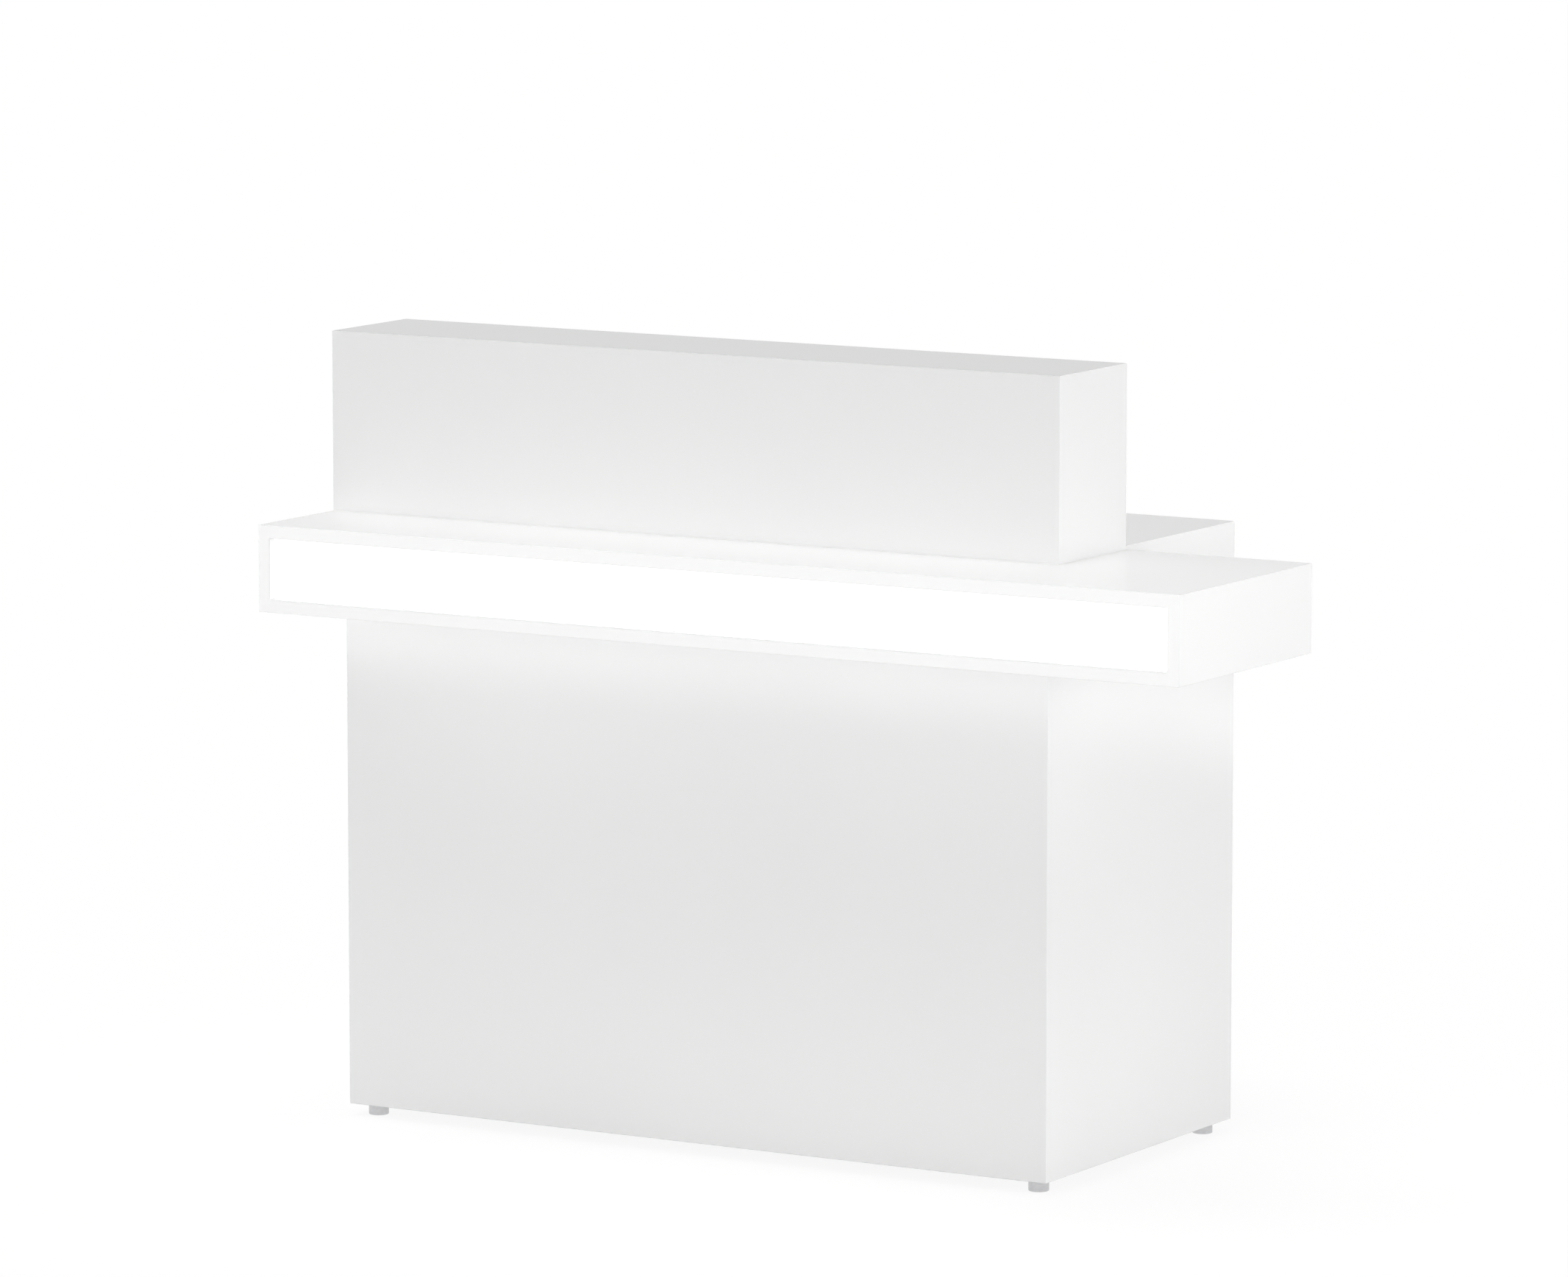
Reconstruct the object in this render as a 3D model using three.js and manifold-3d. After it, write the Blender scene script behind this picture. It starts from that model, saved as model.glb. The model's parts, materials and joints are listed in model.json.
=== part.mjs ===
// Reception desk: a base cabinet, a luminous box lying across it and an upper box standing on that.
// Millimetres, +Z up, +Y towards the staff side. The origin is on the floor, at the middle of the
// desk's outline. Each sub-assembly is a group with its own corner as origin.

import * as THREE from "three";
import { mergeVertices } from "three/addons/utils/BufferGeometryUtils.js";
import Module from "manifold-3d";

const wasm = await Module();
wasm.setup();

// Overall sizes
const OVERALL_HEIGHT = 1100;
const COUNTER_HEIGHT = 850; // top of the light box and of the rear worktop
const BASE_WIDTH = 1110;
const BASE_DEPTH = 528;
const BOX_WIDTH = 1425;
const BOX_DEPTH = 371;
const BOX_HEIGHT = 120;
const BOX_OVERHANG = 189; // light box in front of the base
const UPPER_DEPTH = 186;
const END_REVEAL = 18; // light box and upper box beyond the base's side

// Boards and their fits
const BOARD = 18;
const ARRIS = 0.8; // small bevel along a show edge
const SEAM = 0.3; // glue line or assembly gap between neighbours
const FIT = 0.4; // running clearance round a turning or sliding piece

// Light box
const DIFFUSER = 5;
const DIFFUSER_SETBACK = 9; // behind the boards' front edges
const DIFFUSER_GAP = 0.5;
const RAIL_LEG = 13;
const RAIL_WALL = 1.5;
const LED_BAR_HEIGHT = 12;
const LED_BAR_THICKNESS = 1.6;
const LED_BAR_END_GAP = 40;
const LED_ROW_PITCH = 42;
const LED_PITCH = 66;
const LED_LENS_RADIUS = 4;
const PLUG_WIDTH = 16;
const PLUG_DEPTH = 8;
const DRIVER_LENGTH = 180;
const DRIVER_DEPTH = 32;
const DRIVER_HEIGHT = 48;
const DRIVER_RIB_PITCH = 6;
const DRIVER_RIB = 1.5;
const DRIVER_PLACE = 905; // driver's middle from the box's left end
const DRIVER_GLAND_RADIUS = 6;
const DRIVER_GLAND_LENGTH = 10;
const LEAD_RADIUS = 2.5;
const LEAD_BEND = 10;
const LEAD_PLACE = 752; // where the lead passes the back board and the spar
const BUSH_FLANGE_RADIUS = 9;
const BUSH_FLANGE = 2;
const BUSH_WALL = 2.5;
const SWITCH_PLACE = 1055;
const SWITCH_WIDTH = 14;
const SWITCH_HEIGHT = 22;
const SWITCH_FRAME = 3;
const SWITCH_FRAME_DEPTH = 2;
const SWITCH_DEPTH = 16;
const ROCKER_TILT = 7; // degrees either side of level
const ROCKER_DEPTH = 4;

// Cabinet on the staff side
const SHELF_HEIGHT = 370; // underside of the shelves above the floor
const SHELF_SETBACK = 20;
const SHELF_SIDE_GAP = 0.6;
const PIN_RADIUS = 2.5;
const PIN_LENGTH = 8; // in the board, and the same again under the shelf
const PIN_ROW_INSET = 60; // from a shelf's front and back edge
const PIN_PITCH = 32;
const PIN_HOLES = 5; // in a row, with the pin in the middle one
const GROMMET_RADIUS = 30;
const GROMMET_FLANGE_RADIUS = 36;
const GROMMET_WALL = 3;
const GROMMET_LEDGE = 3;
const GROMMET_LIP = 2.5;
const GROMMET_CAP = 2.5;
const GROMMET_PLACE = 70; // behind the light box
const GROMMET_NOTCH = 14;

// Drawer and its runners
const DRAWER_FRONT_HEIGHT = 140;
const DRAWER_GAP = 2; // joint round the drawer front
const DRAWER_INSET = 3; // front behind the cabinet's edges
const DRAWER_BOARD = 12;
const DRAWER_SIDE_HEIGHT = 100;
const DRAWER_LIFT = 16; // box above the front's lower edge, which is the finger grip
const DRAWER_BACK_SPACE = 20;
const DRAWER_BOTTOM = 6;
const DRAWER_GROOVE_HEIGHT = 10;
const DRAWER_GROOVE_DEPTH = 6;
const RUNNER_HEIGHT = 45;
const RUNNER_WIDTH = 12.7;
const RUNNER_WALL = 1.2;
const RUNNER_PLAY = 0.6; // room for the balls between two members
const LOCK_DROP = 26; // lock's middle below the front's top edge
const LOCK_HEAD_RADIUS = 11;
const LOCK_HEAD = 2;
const LOCK_BARREL_RADIUS = 8;
const LOCK_BARREL_TAIL = 5;
const LOCK_PLUG_RADIUS = 5.5;
const LOCK_TONGUE_REACH = 34;
const LOCK_TONGUE_WIDTH = 12;
const LOCK_TONGUE = 2.5;
const LOCK_KEYWAY = 1.6;
const LOCK_KEYWAY_HEIGHT = 8;

// Feet
const FOOT_HEIGHT = 17;
const FOOT_RADIUS = 14;
const FOOT_EDGE = 1.4;
const FOOT_SIDE_PLACE = 10; // stem axis from the gable's inner face
const FOOT_END_PLACE = 31; // stem axis from the base's front or back
const STEM_RADIUS = 4;
const STEM_LENGTH = 27;
const INSERT_WALL = 1.5;
const INSERT_FLANGE_RADIUS = 8.5;
const INSERT_FLANGE = 1.5;

// Places worked out from the sizes
const UPPER_WIDTH = BASE_WIDTH + 2 * END_REVEAL;
const UPPER_HEIGHT = OVERALL_HEIGHT - COUNTER_HEIGHT;
const OVERALL_DEPTH = BOX_OVERHANG + BASE_DEPTH;
const BOX_BOTTOM = COUNTER_HEIGHT - BOX_HEIGHT;
const BOX_BACK = BOX_DEPTH - BOX_OVERHANG; // behind the base's front
const NOTCH_BACK = BOX_BACK + SEAM;
const NOTCH_FLOOR = BOX_BOTTOM - SEAM;
const INNER_FLOOR = FOOT_HEIGHT + BOARD;
const WORKTOP_UNDERSIDE = COUNTER_HEIGHT - BOARD;
const PARTITION_LEFT = (BASE_WIDTH - BOARD) / 2;
const PARTITION_RIGHT = PARTITION_LEFT + BOARD;
const LEFT_BAY = [BOARD, PARTITION_LEFT];
const RIGHT_BAY = [PARTITION_RIGHT, BASE_WIDTH - BOARD];
const BEHIND_FRONT = BOARD + SEAM;
const SHELF_FRONT = BEHIND_FRONT + SHELF_SIDE_GAP;
const SHELF_BACK = BASE_DEPTH - SHELF_SETBACK;
const PIN_ROWS = [SHELF_FRONT + PIN_ROW_INSET, SHELF_BACK - PIN_ROW_INSET];
const PIN_HEIGHT = SHELF_HEIGHT - SEAM - PIN_RADIUS;
const DRAWER_TOP = WORKTOP_UNDERSIDE - DRAWER_GAP;
const DRAWER_FLOOR = DRAWER_TOP - DRAWER_FRONT_HEIGHT;
const DRAWER_FACE = BASE_DEPTH - DRAWER_INSET;
const DRAWER_BEHIND = DRAWER_FACE - BOARD - SEAM; // where the drawer box meets its front
const DRAWER_LENGTH = DRAWER_BEHIND - BOX_BACK - DRAWER_BACK_SPACE;
const DRAWER_BOX_WIDTH = LEFT_BAY[1] - LEFT_BAY[0] - 2 * (RUNNER_WIDTH + 2 * SEAM);
const DRAWER_BOX_FLOOR = DRAWER_FLOOR + DRAWER_LIFT;
const LOCK_HEIGHT = DRAWER_TOP - LOCK_DROP;
const LOCK_PLACE = (LEFT_BAY[0] + LEFT_BAY[1]) / 2;
const GROMMET_AXIS = [(RIGHT_BAY[0] + RIGHT_BAY[1]) / 2, BOX_BACK + GROMMET_PLACE];
const BOX_MIDDLE = BOX_HEIGHT / 2;
const BOX_INSIDE = BOARD + SEAM;
const FOOT_PLACES = [
  ["front_left", BOARD + FOOT_SIDE_PLACE, FOOT_END_PLACE],
  ["front_right", BASE_WIDTH - BOARD - FOOT_SIDE_PLACE, FOOT_END_PLACE],
  ["back_left", BOARD + FOOT_SIDE_PLACE, BASE_DEPTH - FOOT_END_PLACE],
  ["back_right", BASE_WIDTH - BOARD - FOOT_SIDE_PLACE, BASE_DEPTH - FOOT_END_PLACE],
];

// Finishes: colour, roughness, metalness
const LACQUER = [0xf4f4f3, 0.12, 0];
const MELAMINE = [0xeeeeec, 0.45, 0];
const OPAL = [0xffffff, 0.2, 0];
const SATIN_STEEL = [0xb9babc, 0.3, 1];
const ZINC = [0xa9adb2, 0.4, 1];
const ALUMINIUM = [0xc8cacc, 0.35, 1];
const NICKEL = [0xc4c2bc, 0.18, 1];
const CIRCUIT_WHITE = [0xf6f6f0, 0.5, 0];
const WHITE_PLASTIC = [0xe6e7e6, 0.4, 0];
const GREY_PLASTIC = [0xb4b6b6, 0.45, 0];
const BLACK_PLASTIC = [0x1b1b1c, 0.45, 0];
const GREY_RUBBER = [0x4a4b4c, 0.7, 0];

const DEGREE = Math.PI / 180;

// Solids and booleans
function toSolid(geometry) {
  const bare = geometry.clone();
  bare.deleteAttribute("normal");
  bare.deleteAttribute("uv");
  const merged = mergeVertices(bare, 1e-4);
  const vertProperties = merged.attributes.position.array;
  const triVerts = new Uint32Array(merged.index.array);
  return new wasm.Manifold(new wasm.Mesh({ numProp: 3, vertProperties, triVerts }));
}

function toGeometry(solid) {
  const mesh = solid.getMesh();
  const geometry = new THREE.BufferGeometry();
  geometry.setAttribute("position", new THREE.BufferAttribute(mesh.vertProperties, 3));
  geometry.setIndex(new THREE.BufferAttribute(mesh.triVerts, 1));
  return geometry;
}

function cut(geometry, tools) {
  const solids = tools.map(toSolid);
  return toGeometry(solids.reduce((rest, tool) => rest.subtract(tool), toSolid(geometry)));
}

function join(geometries) {
  return toGeometry(geometries.map(toSolid).reduce((whole, piece) => whole.add(piece)));
}

function addMesh(group, name, [color, roughness, metalness], geometry) {
  const material = new THREE.MeshStandardMaterial({ color, roughness, metalness, flatShading: true });
  const mesh = new THREE.Mesh(geometry, material);
  mesh.name = name;
  group.add(mesh);
  return mesh;
}

// A revolved piece about +Z, from a profile of [radius, height] points.
function turned(profile, segments) {
  const points = profile.map(([radius, height]) => new THREE.Vector2(radius, height));
  return new THREE.LatheGeometry(points, segments).rotateX(Math.PI / 2);
}

// A ring about +Z: its closed section goes round the bore.
function ring(section, segments) {
  return turned([...section, section[0]], segments);
}

// A section in the XZ plane drawn out along +Y.
function drawnOut(section, length) {
  const shape = new THREE.Shape(section.map(([x, z]) => new THREE.Vector2(x, z)));
  const geometry = new THREE.ExtrudeGeometry(shape, { depth: length, bevelEnabled: false });
  return geometry.rotateX(Math.PI / 2).translate(0, length, 0);
}

// A section in the YZ plane drawn out along +X.
function drawnAcross(section, length) {
  const shape = new THREE.Shape(section.map(([y, z]) => new THREE.Vector2(y, z)));
  return standUp(new THREE.ExtrudeGeometry(shape, { depth: length, bevelEnabled: false }));
}

// Turns what is drawn with y across and z up, in x and y, into its place in the YZ plane.
function standUp(geometry) {
  return geometry.rotateX(Math.PI / 2).rotateZ(Math.PI / 2);
}

function block(width, depth, height) {
  return new THREE.BoxGeometry(width, depth, height);
}

// A round cutter or rod along Z, centred on its own length.
function rod(radius, length, segments) {
  return new THREE.CylinderGeometry(radius, radius, length, segments).rotateX(Math.PI / 2);
}

// A tube along a smooth curve.
function tube(points, radius, steps, sides) {
  const path = new THREE.CatmullRomCurve3(points.map((point) => new THREE.Vector3(...point)));
  const outline = Array.from({ length: sides }, (_, i) => {
    const angle = (2 * Math.PI * i) / sides;
    return new THREE.Vector2(radius * Math.cos(angle), radius * Math.sin(angle));
  });
  return new THREE.ExtrudeGeometry(new THREE.Shape(outline), { steps, extrudePath: path });
}

// Board edges: how far an edge stands back at a depth behind the show face.
const MITRE_LEVEL = (ARRIS - SEAM / 2) / 2;
const EDGE_SETBACK = {
  square: () => 0,
  arris: (depth, thickness) => Math.max(0, ARRIS - depth, ARRIS - thickness + depth),
  mitre: (depth) => Math.max(ARRIS - depth, depth + SEAM / 2),
};

// An outline with each edge moved inwards by its own distance; points run anticlockwise.
function insetOutline(outline, distances) {
  const count = outline.length;
  const lines = outline.map(([x, y], i) => {
    const [nextX, nextY] = outline[(i + 1) % count];
    const length = Math.hypot(nextX - x, nextY - y);
    const normal = [(y - nextY) / length, (nextX - x) / length];
    return { normal, offset: normal[0] * x + normal[1] * y + distances[i] };
  });
  return lines.map((line, i) => {
    const before = lines[(i + count - 1) % count];
    const [a, b] = before.normal;
    const [c, d] = line.normal;
    const determinant = a * d - b * c;
    const x = (before.offset * d - b * line.offset) / determinant;
    const y = (a * line.offset - before.offset * c) / determinant;
    return [x, y];
  });
}

// A flat board lofted back from its show face, which is at local z = 0 and looks along +z.
function boardGeometry(outline, edges, thickness) {
  const levels = [0, MITRE_LEVEL, ARRIS, thickness - ARRIS, thickness];
  const count = outline.length;
  const positions = [];
  const index = [];
  levels.forEach((depth) => {
    const distances = edges.map((edge) => EDGE_SETBACK[edge](depth, thickness));
    insetOutline(outline, distances).forEach(([x, y]) => positions.push(x, y, -depth));
  });
  for (let level = 0; level + 1 < levels.length; level += 1) {
    for (let i = 0; i < count; i += 1) {
      const near = level * count + i;
      const nearNext = level * count + ((i + 1) % count);
      index.push(near, near + count, nearNext, nearNext, near + count, nearNext + count);
    }
  }
  const contour = outline.map(([x, y]) => new THREE.Vector2(x, y));
  const last = (levels.length - 1) * count;
  THREE.ShapeUtils.triangulateShape(contour, []).forEach(([a, b, c]) => {
    index.push(a, b, c, last + a, last + c, last + b);
  });
  const geometry = new THREE.BufferGeometry();
  geometry.setAttribute("position", new THREE.Float32BufferAttribute(positions, 3));
  geometry.setIndex(index);
  return geometry;
}

// The way a board's show face looks: its own right and its own up, as seen from outside.
const FACINGS = {
  front: [[1, 0, 0], [0, 0, 1]],
  back: [[-1, 0, 0], [0, 0, 1]],
  left: [[0, -1, 0], [0, 0, 1]],
  right: [[0, 1, 0], [0, 0, 1]],
  top: [[1, 0, 0], [0, 1, 0]],
  bottom: [[1, 0, 0], [0, -1, 0]],
};

function turnTo(object, facing) {
  const [across, up] = FACINGS[facing].map((axis) => new THREE.Vector3(...axis));
  const out = new THREE.Vector3().crossVectors(across, up);
  object.quaternion.setFromRotationMatrix(new THREE.Matrix4().makeBasis(across, up, out));
}

// A rectangular board between two corners, given as ranges along X, Y and Z.
// Its thickness runs back from the show face; edges not named are square; cutters are in place.
function addBoard(group, name, finish, facing, [x, y, z], edges = {}, cutters = []) {
  const size = new THREE.Vector3(x[1] - x[0], y[1] - y[0], z[1] - z[0]);
  const middle = new THREE.Vector3(x[0] + x[1], y[0] + y[1], z[0] + z[1]).multiplyScalar(0.5);
  const frame = new THREE.Object3D();
  turnTo(frame, facing);
  const local = size.applyQuaternion(frame.quaternion.clone().invert());
  const [width, height, thickness] = local.toArray().map(Math.abs);
  const out = new THREE.Vector3(0, 0, thickness / 2).applyQuaternion(frame.quaternion);
  frame.position.copy(middle).add(out);
  frame.updateMatrix();
  const outline = [
    [-width / 2, -height / 2],
    [width / 2, -height / 2],
    [width / 2, height / 2],
    [-width / 2, height / 2],
  ];
  const sides = ["bottom", "right", "top", "left"].map((side) => edges[side] ?? "square");
  const toLocal = frame.matrix.clone().invert();
  const tools = cutters.map((cutter) => cutter.clone().applyMatrix4(toLocal));
  const plain = boardGeometry(outline, sides, thickness);
  const mesh = addMesh(group, name, finish, tools.length ? cut(plain, tools) : plain);
  mesh.position.copy(frame.position);
  mesh.quaternion.copy(frame.quaternion);
  return mesh;
}

// Base cabinet: x from its left side, y from its front, z from the floor
// Two rows of shelf pin holes in a standing board, between two depths from its right-hand face.
function pinHoles([from, to]) {
  const middle = (PIN_HOLES - 1) / 2;
  const heights = Array.from({ length: PIN_HOLES }, (_, i) => PIN_HEIGHT + (i - middle) * PIN_PITCH);
  return PIN_ROWS.flatMap((y) =>
    heights.map((z) => {
      const hole = rod(PIN_RADIUS + SEAM, to - from, 10).rotateY(Math.PI / 2);
      return hole.translate(-(from + to) / 2, y, z);
    }),
  );
}

// The stepped outline of a gable or partition: high behind the light box, low under it.
function steppedOutline(front, floor, ceiling) {
  return [
    [front, floor],
    [BASE_DEPTH, floor],
    [BASE_DEPTH, ceiling],
    [NOTCH_BACK, ceiling],
    [NOTCH_BACK, NOTCH_FLOOR],
    [front, NOTCH_FLOOR],
  ];
}

function addGables(group) {
  const outline = steppedOutline(0, FOOT_HEIGHT, COUNTER_HEIGHT);
  const edges = ["arris", "arris", "mitre", "square", "square", "mitre"];
  const board = standUp(boardGeometry(outline, edges, BOARD));
  const holes = pinHoles([BOARD - PIN_LENGTH - SEAM, BOARD + SEAM]);
  const gable = cut(board, holes);
  const right = addMesh(group, "base_right_gable", LACQUER, gable);
  right.position.x = BASE_WIDTH;
  const left = addMesh(group, "base_left_gable", LACQUER, gable.clone());
  left.scale.x = -1;
}

function addPartition(group) {
  const outline = steppedOutline(BEHIND_FRONT, INNER_FLOOR + SEAM, WORKTOP_UNDERSIDE - SEAM);
  const edges = ["square", "arris", "square", "square", "square", "square"];
  const board = standUp(boardGeometry(outline, edges, BOARD));
  const rightHoles = pinHoles([-SEAM, PIN_LENGTH + SEAM]);
  const leftHoles = pinHoles([BOARD - PIN_LENGTH - SEAM, BOARD + SEAM]);
  const drilled = cut(board, [...rightHoles, ...leftHoles]);
  addMesh(group, "centre_partition", MELAMINE, drilled).position.x = PARTITION_RIGHT;
}

function addShelves(group) {
  const pin = turned(
    [
      [0, -PIN_LENGTH],
      [PIN_RADIUS - ARRIS, -PIN_LENGTH],
      [PIN_RADIUS, ARRIS - PIN_LENGTH],
      [PIN_RADIUS, PIN_LENGTH - ARRIS],
      [PIN_RADIUS - ARRIS, PIN_LENGTH],
      [0, PIN_LENGTH],
    ],
    10,
  ).rotateY(Math.PI / 2);
  [["left", LEFT_BAY], ["right", RIGHT_BAY]].forEach(([side, bay]) => {
    const x = [bay[0] + SHELF_SIDE_GAP, bay[1] - SHELF_SIDE_GAP];
    const z = [SHELF_HEIGHT, SHELF_HEIGHT + BOARD];
    const ranges = [x, [SHELF_FRONT, SHELF_BACK], z];
    addBoard(group, `${side}_shelf`, MELAMINE, "top", ranges, { top: "arris" });
    const places = PIN_ROWS.flatMap((y) => bay.map((face) => [face, y, PIN_HEIGHT]));
    places.forEach((place, i) => {
      addMesh(group, `shelf_pin_${side}_${i + 1}`, ZINC, pin.clone()).position.set(...place);
    });
  });
}

function addWorktop(group) {
  const hole = rod(GROMMET_RADIUS + SEAM, 3 * BOARD, 32);
  hole.translate(...GROMMET_AXIS, COUNTER_HEIGHT);
  const reach = LOCK_HEIGHT + LOCK_TONGUE_REACH - WORKTOP_UNDERSIDE + FIT;
  const keeper = block(2 * LOCK_TONGUE_REACH, 4 * LOCK_TONGUE, 2 * reach);
  keeper.translate(LOCK_PLACE, DRAWER_FACE - BOARD - LOCK_BARREL_TAIL - LOCK_TONGUE, WORKTOP_UNDERSIDE);
  const ranges = [[0, BASE_WIDTH], [NOTCH_BACK, BASE_DEPTH], [WORKTOP_UNDERSIDE, COUNTER_HEIGHT]];
  const edges = { left: "mitre", right: "mitre", top: "arris" };
  addBoard(group, "worktop", LACQUER, "top", ranges, edges, [hole, keeper]);
}

function addBase() {
  const base = new THREE.Group();
  base.name = "base";
  addGables(base);
  const front = [[0, BASE_WIDTH], [0, BOARD], [FOOT_HEIGHT, NOTCH_FLOOR]];
  const frontEdges = { left: "mitre", right: "mitre", bottom: "arris" };
  addBoard(base, "base_front_panel", LACQUER, "front", front, frontEdges);
  const insertHoles = FOOT_PLACES.map(([, x, y]) => {
    const hole = rod(STEM_RADIUS + FIT + INSERT_WALL + SEAM, 3 * BOARD, 16);
    return hole.translate(x, y, FOOT_HEIGHT);
  });
  const inside = [BOARD + SEAM, BASE_WIDTH - BOARD - SEAM];
  const bottom = [inside, [BEHIND_FRONT, BASE_DEPTH], [FOOT_HEIGHT, INNER_FLOOR]];
  addBoard(base, "base_bottom_panel", MELAMINE, "bottom", bottom, { bottom: "arris" }, insertHoles);
  addPartition(base);
  addShelves(base);
  addWorktop(base);
  addGrommet(base);
  addFeet(base);
  addDrawer(base);
  return base;
}

function addGrommet(group) {
  const bore = GROMMET_RADIUS - GROMMET_WALL;
  const ledge = GROMMET_LIP - GROMMET_CAP - SEAM;
  const sleeve = ring(
    [
      [bore - GROMMET_LEDGE, -BOARD - GROMMET_LIP],
      [GROMMET_RADIUS, -BOARD - GROMMET_LIP],
      [GROMMET_RADIUS, SEAM],
      [GROMMET_FLANGE_RADIUS, SEAM],
      [GROMMET_FLANGE_RADIUS, ARRIS],
      [GROMMET_FLANGE_RADIUS - ARRIS, GROMMET_LIP],
      [bore, GROMMET_LIP],
      [bore, ledge],
      [bore - GROMMET_LEDGE, ledge],
    ],
    32,
  );
  addMesh(group, "grommet_sleeve", GREY_PLASTIC, sleeve).position.set(...GROMMET_AXIS, COUNTER_HEIGHT);
  const radius = bore - FIT;
  const disc = turned(
    [
      [0, 0],
      [radius, 0],
      [radius, GROMMET_CAP - ARRIS],
      [radius - ARRIS, GROMMET_CAP],
      [0, GROMMET_CAP],
    ],
    32,
  );
  const slot = block(GROMMET_NOTCH, 2 * GROMMET_NOTCH, 4 * GROMMET_CAP).translate(0, -radius, 0);
  const end = rod(GROMMET_NOTCH / 2, 4 * GROMMET_CAP, 16).translate(0, GROMMET_NOTCH - radius, 0);
  const cap = addMesh(group, "grommet_cap", GREY_PLASTIC, cut(disc, [slot, end]));
  cap.position.set(...GROMMET_AXIS, COUNTER_HEIGHT + GROMMET_LIP - GROMMET_CAP);
}

function addFeet(group) {
  const padTop = FOOT_HEIGHT - SEAM;
  const foot = turned(
    [
      [0, 0],
      [FOOT_RADIUS - FOOT_EDGE, 0],
      [FOOT_RADIUS - FOOT_EDGE / 3, FOOT_EDGE / 3],
      [FOOT_RADIUS, FOOT_EDGE],
      [FOOT_RADIUS, padTop - FOOT_EDGE / 3],
      [FOOT_RADIUS - FOOT_EDGE / 3, padTop],
      [STEM_RADIUS, padTop],
      [STEM_RADIUS, padTop + STEM_LENGTH - ARRIS],
      [STEM_RADIUS - ARRIS, padTop + STEM_LENGTH],
      [0, padTop + STEM_LENGTH],
    ],
    32,
  );
  const bore = STEM_RADIUS + FIT;
  const insert = ring(
    [
      [bore, FOOT_HEIGHT + SEAM],
      [bore + INSERT_WALL, FOOT_HEIGHT + SEAM],
      [bore + INSERT_WALL, INNER_FLOOR + SEAM],
      [INSERT_FLANGE_RADIUS, INNER_FLOOR + SEAM],
      [INSERT_FLANGE_RADIUS, INNER_FLOOR + SEAM + INSERT_FLANGE],
      [bore, INNER_FLOOR + SEAM + INSERT_FLANGE],
    ],
    16,
  );
  FOOT_PLACES.forEach(([corner, x, y]) => {
    addMesh(group, `foot_${corner}`, SATIN_STEEL, foot.clone()).position.set(x, y, 0);
    addMesh(group, `foot_insert_${corner}`, ZINC, insert.clone()).position.set(x, y, 0);
  });
}

// Drawer: x from the middle of its bay, y from the drawer box's front end, z from the drawer box's floor
function addDrawerBox(group) {
  const half = DRAWER_BOX_WIDTH / 2;
  const grooveTop = DRAWER_GROOVE_HEIGHT + DRAWER_BOTTOM + 2 * SEAM;
  const wall = DRAWER_BOARD;
  const section = [
    [0, 0],
    [wall, 0],
    [wall, DRAWER_GROOVE_HEIGHT],
    [wall - DRAWER_GROOVE_DEPTH, DRAWER_GROOVE_HEIGHT],
    [wall - DRAWER_GROOVE_DEPTH, grooveTop],
    [wall, grooveTop],
    [wall, DRAWER_SIDE_HEIGHT],
    [0, DRAWER_SIDE_HEIGHT],
  ];
  const side = drawnOut(section, DRAWER_LENGTH).translate(-half, -DRAWER_LENGTH, 0);
  addMesh(group, "drawer_left_side", MELAMINE, side);
  addMesh(group, "drawer_right_side", MELAMINE, side.clone()).scale.x = -1;
  const between = [wall + SEAM - half, half - wall - SEAM];
  const backRanges = [between, [-DRAWER_LENGTH, wall - DRAWER_LENGTH], [grooveTop, DRAWER_SIDE_HEIGHT]];
  addBoard(group, "drawer_back", MELAMINE, "front", backRanges);
  const tongue = DRAWER_GROOVE_DEPTH - SEAM;
  const floorWidth = [wall - tongue - half, half - wall + tongue];
  const floor = DRAWER_GROOVE_HEIGHT + SEAM;
  const floorRanges = [floorWidth, [-DRAWER_LENGTH, 0], [floor, floor + DRAWER_BOTTOM]];
  addBoard(group, "drawer_bottom", MELAMINE, "top", floorRanges);
}

// A runner member's section: a channel open towards +X, or towards -X when it is turned round.
function channel(start, end, height, turnedRound) {
  const half = height / 2;
  const web = turnedRound ? end : start;
  const tip = turnedRound ? start : end;
  const inner = web + (turnedRound ? -RUNNER_WALL : RUNNER_WALL);
  const points = [
    [web, -half],
    [tip, -half],
    [tip, RUNNER_WALL - half],
    [inner, RUNNER_WALL - half],
    [inner, half - RUNNER_WALL],
    [tip, half - RUNNER_WALL],
    [tip, half],
    [web, half],
  ];
  return turnedRound ? points.reverse() : points;
}

// Telescopic runners: three nested channels on each side, seen from the bay's left wall.
function addRunners(group) {
  const step = RUNNER_WALL + RUNNER_PLAY;
  const members = [
    ["outer", channel(0, RUNNER_WIDTH - 2 * step, RUNNER_HEIGHT, false)],
    ["middle", channel(step, RUNNER_WIDTH - step, RUNNER_HEIGHT - 2 * step, false)],
    ["inner", channel(2 * step, RUNNER_WIDTH, RUNNER_HEIGHT - 4 * step, true)],
  ];
  const wall = DRAWER_BOX_WIDTH / 2 + RUNNER_WIDTH + SEAM;
  members.forEach(([member, section]) => {
    const profile = drawnOut(section, DRAWER_LENGTH);
    profile.translate(-wall, -DRAWER_LENGTH, DRAWER_SIDE_HEIGHT / 2);
    addMesh(group, `runner_${member}_left`, ZINC, profile);
    addMesh(group, `runner_${member}_right`, ZINC, profile.clone()).scale.x = -1;
  });
}

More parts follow.
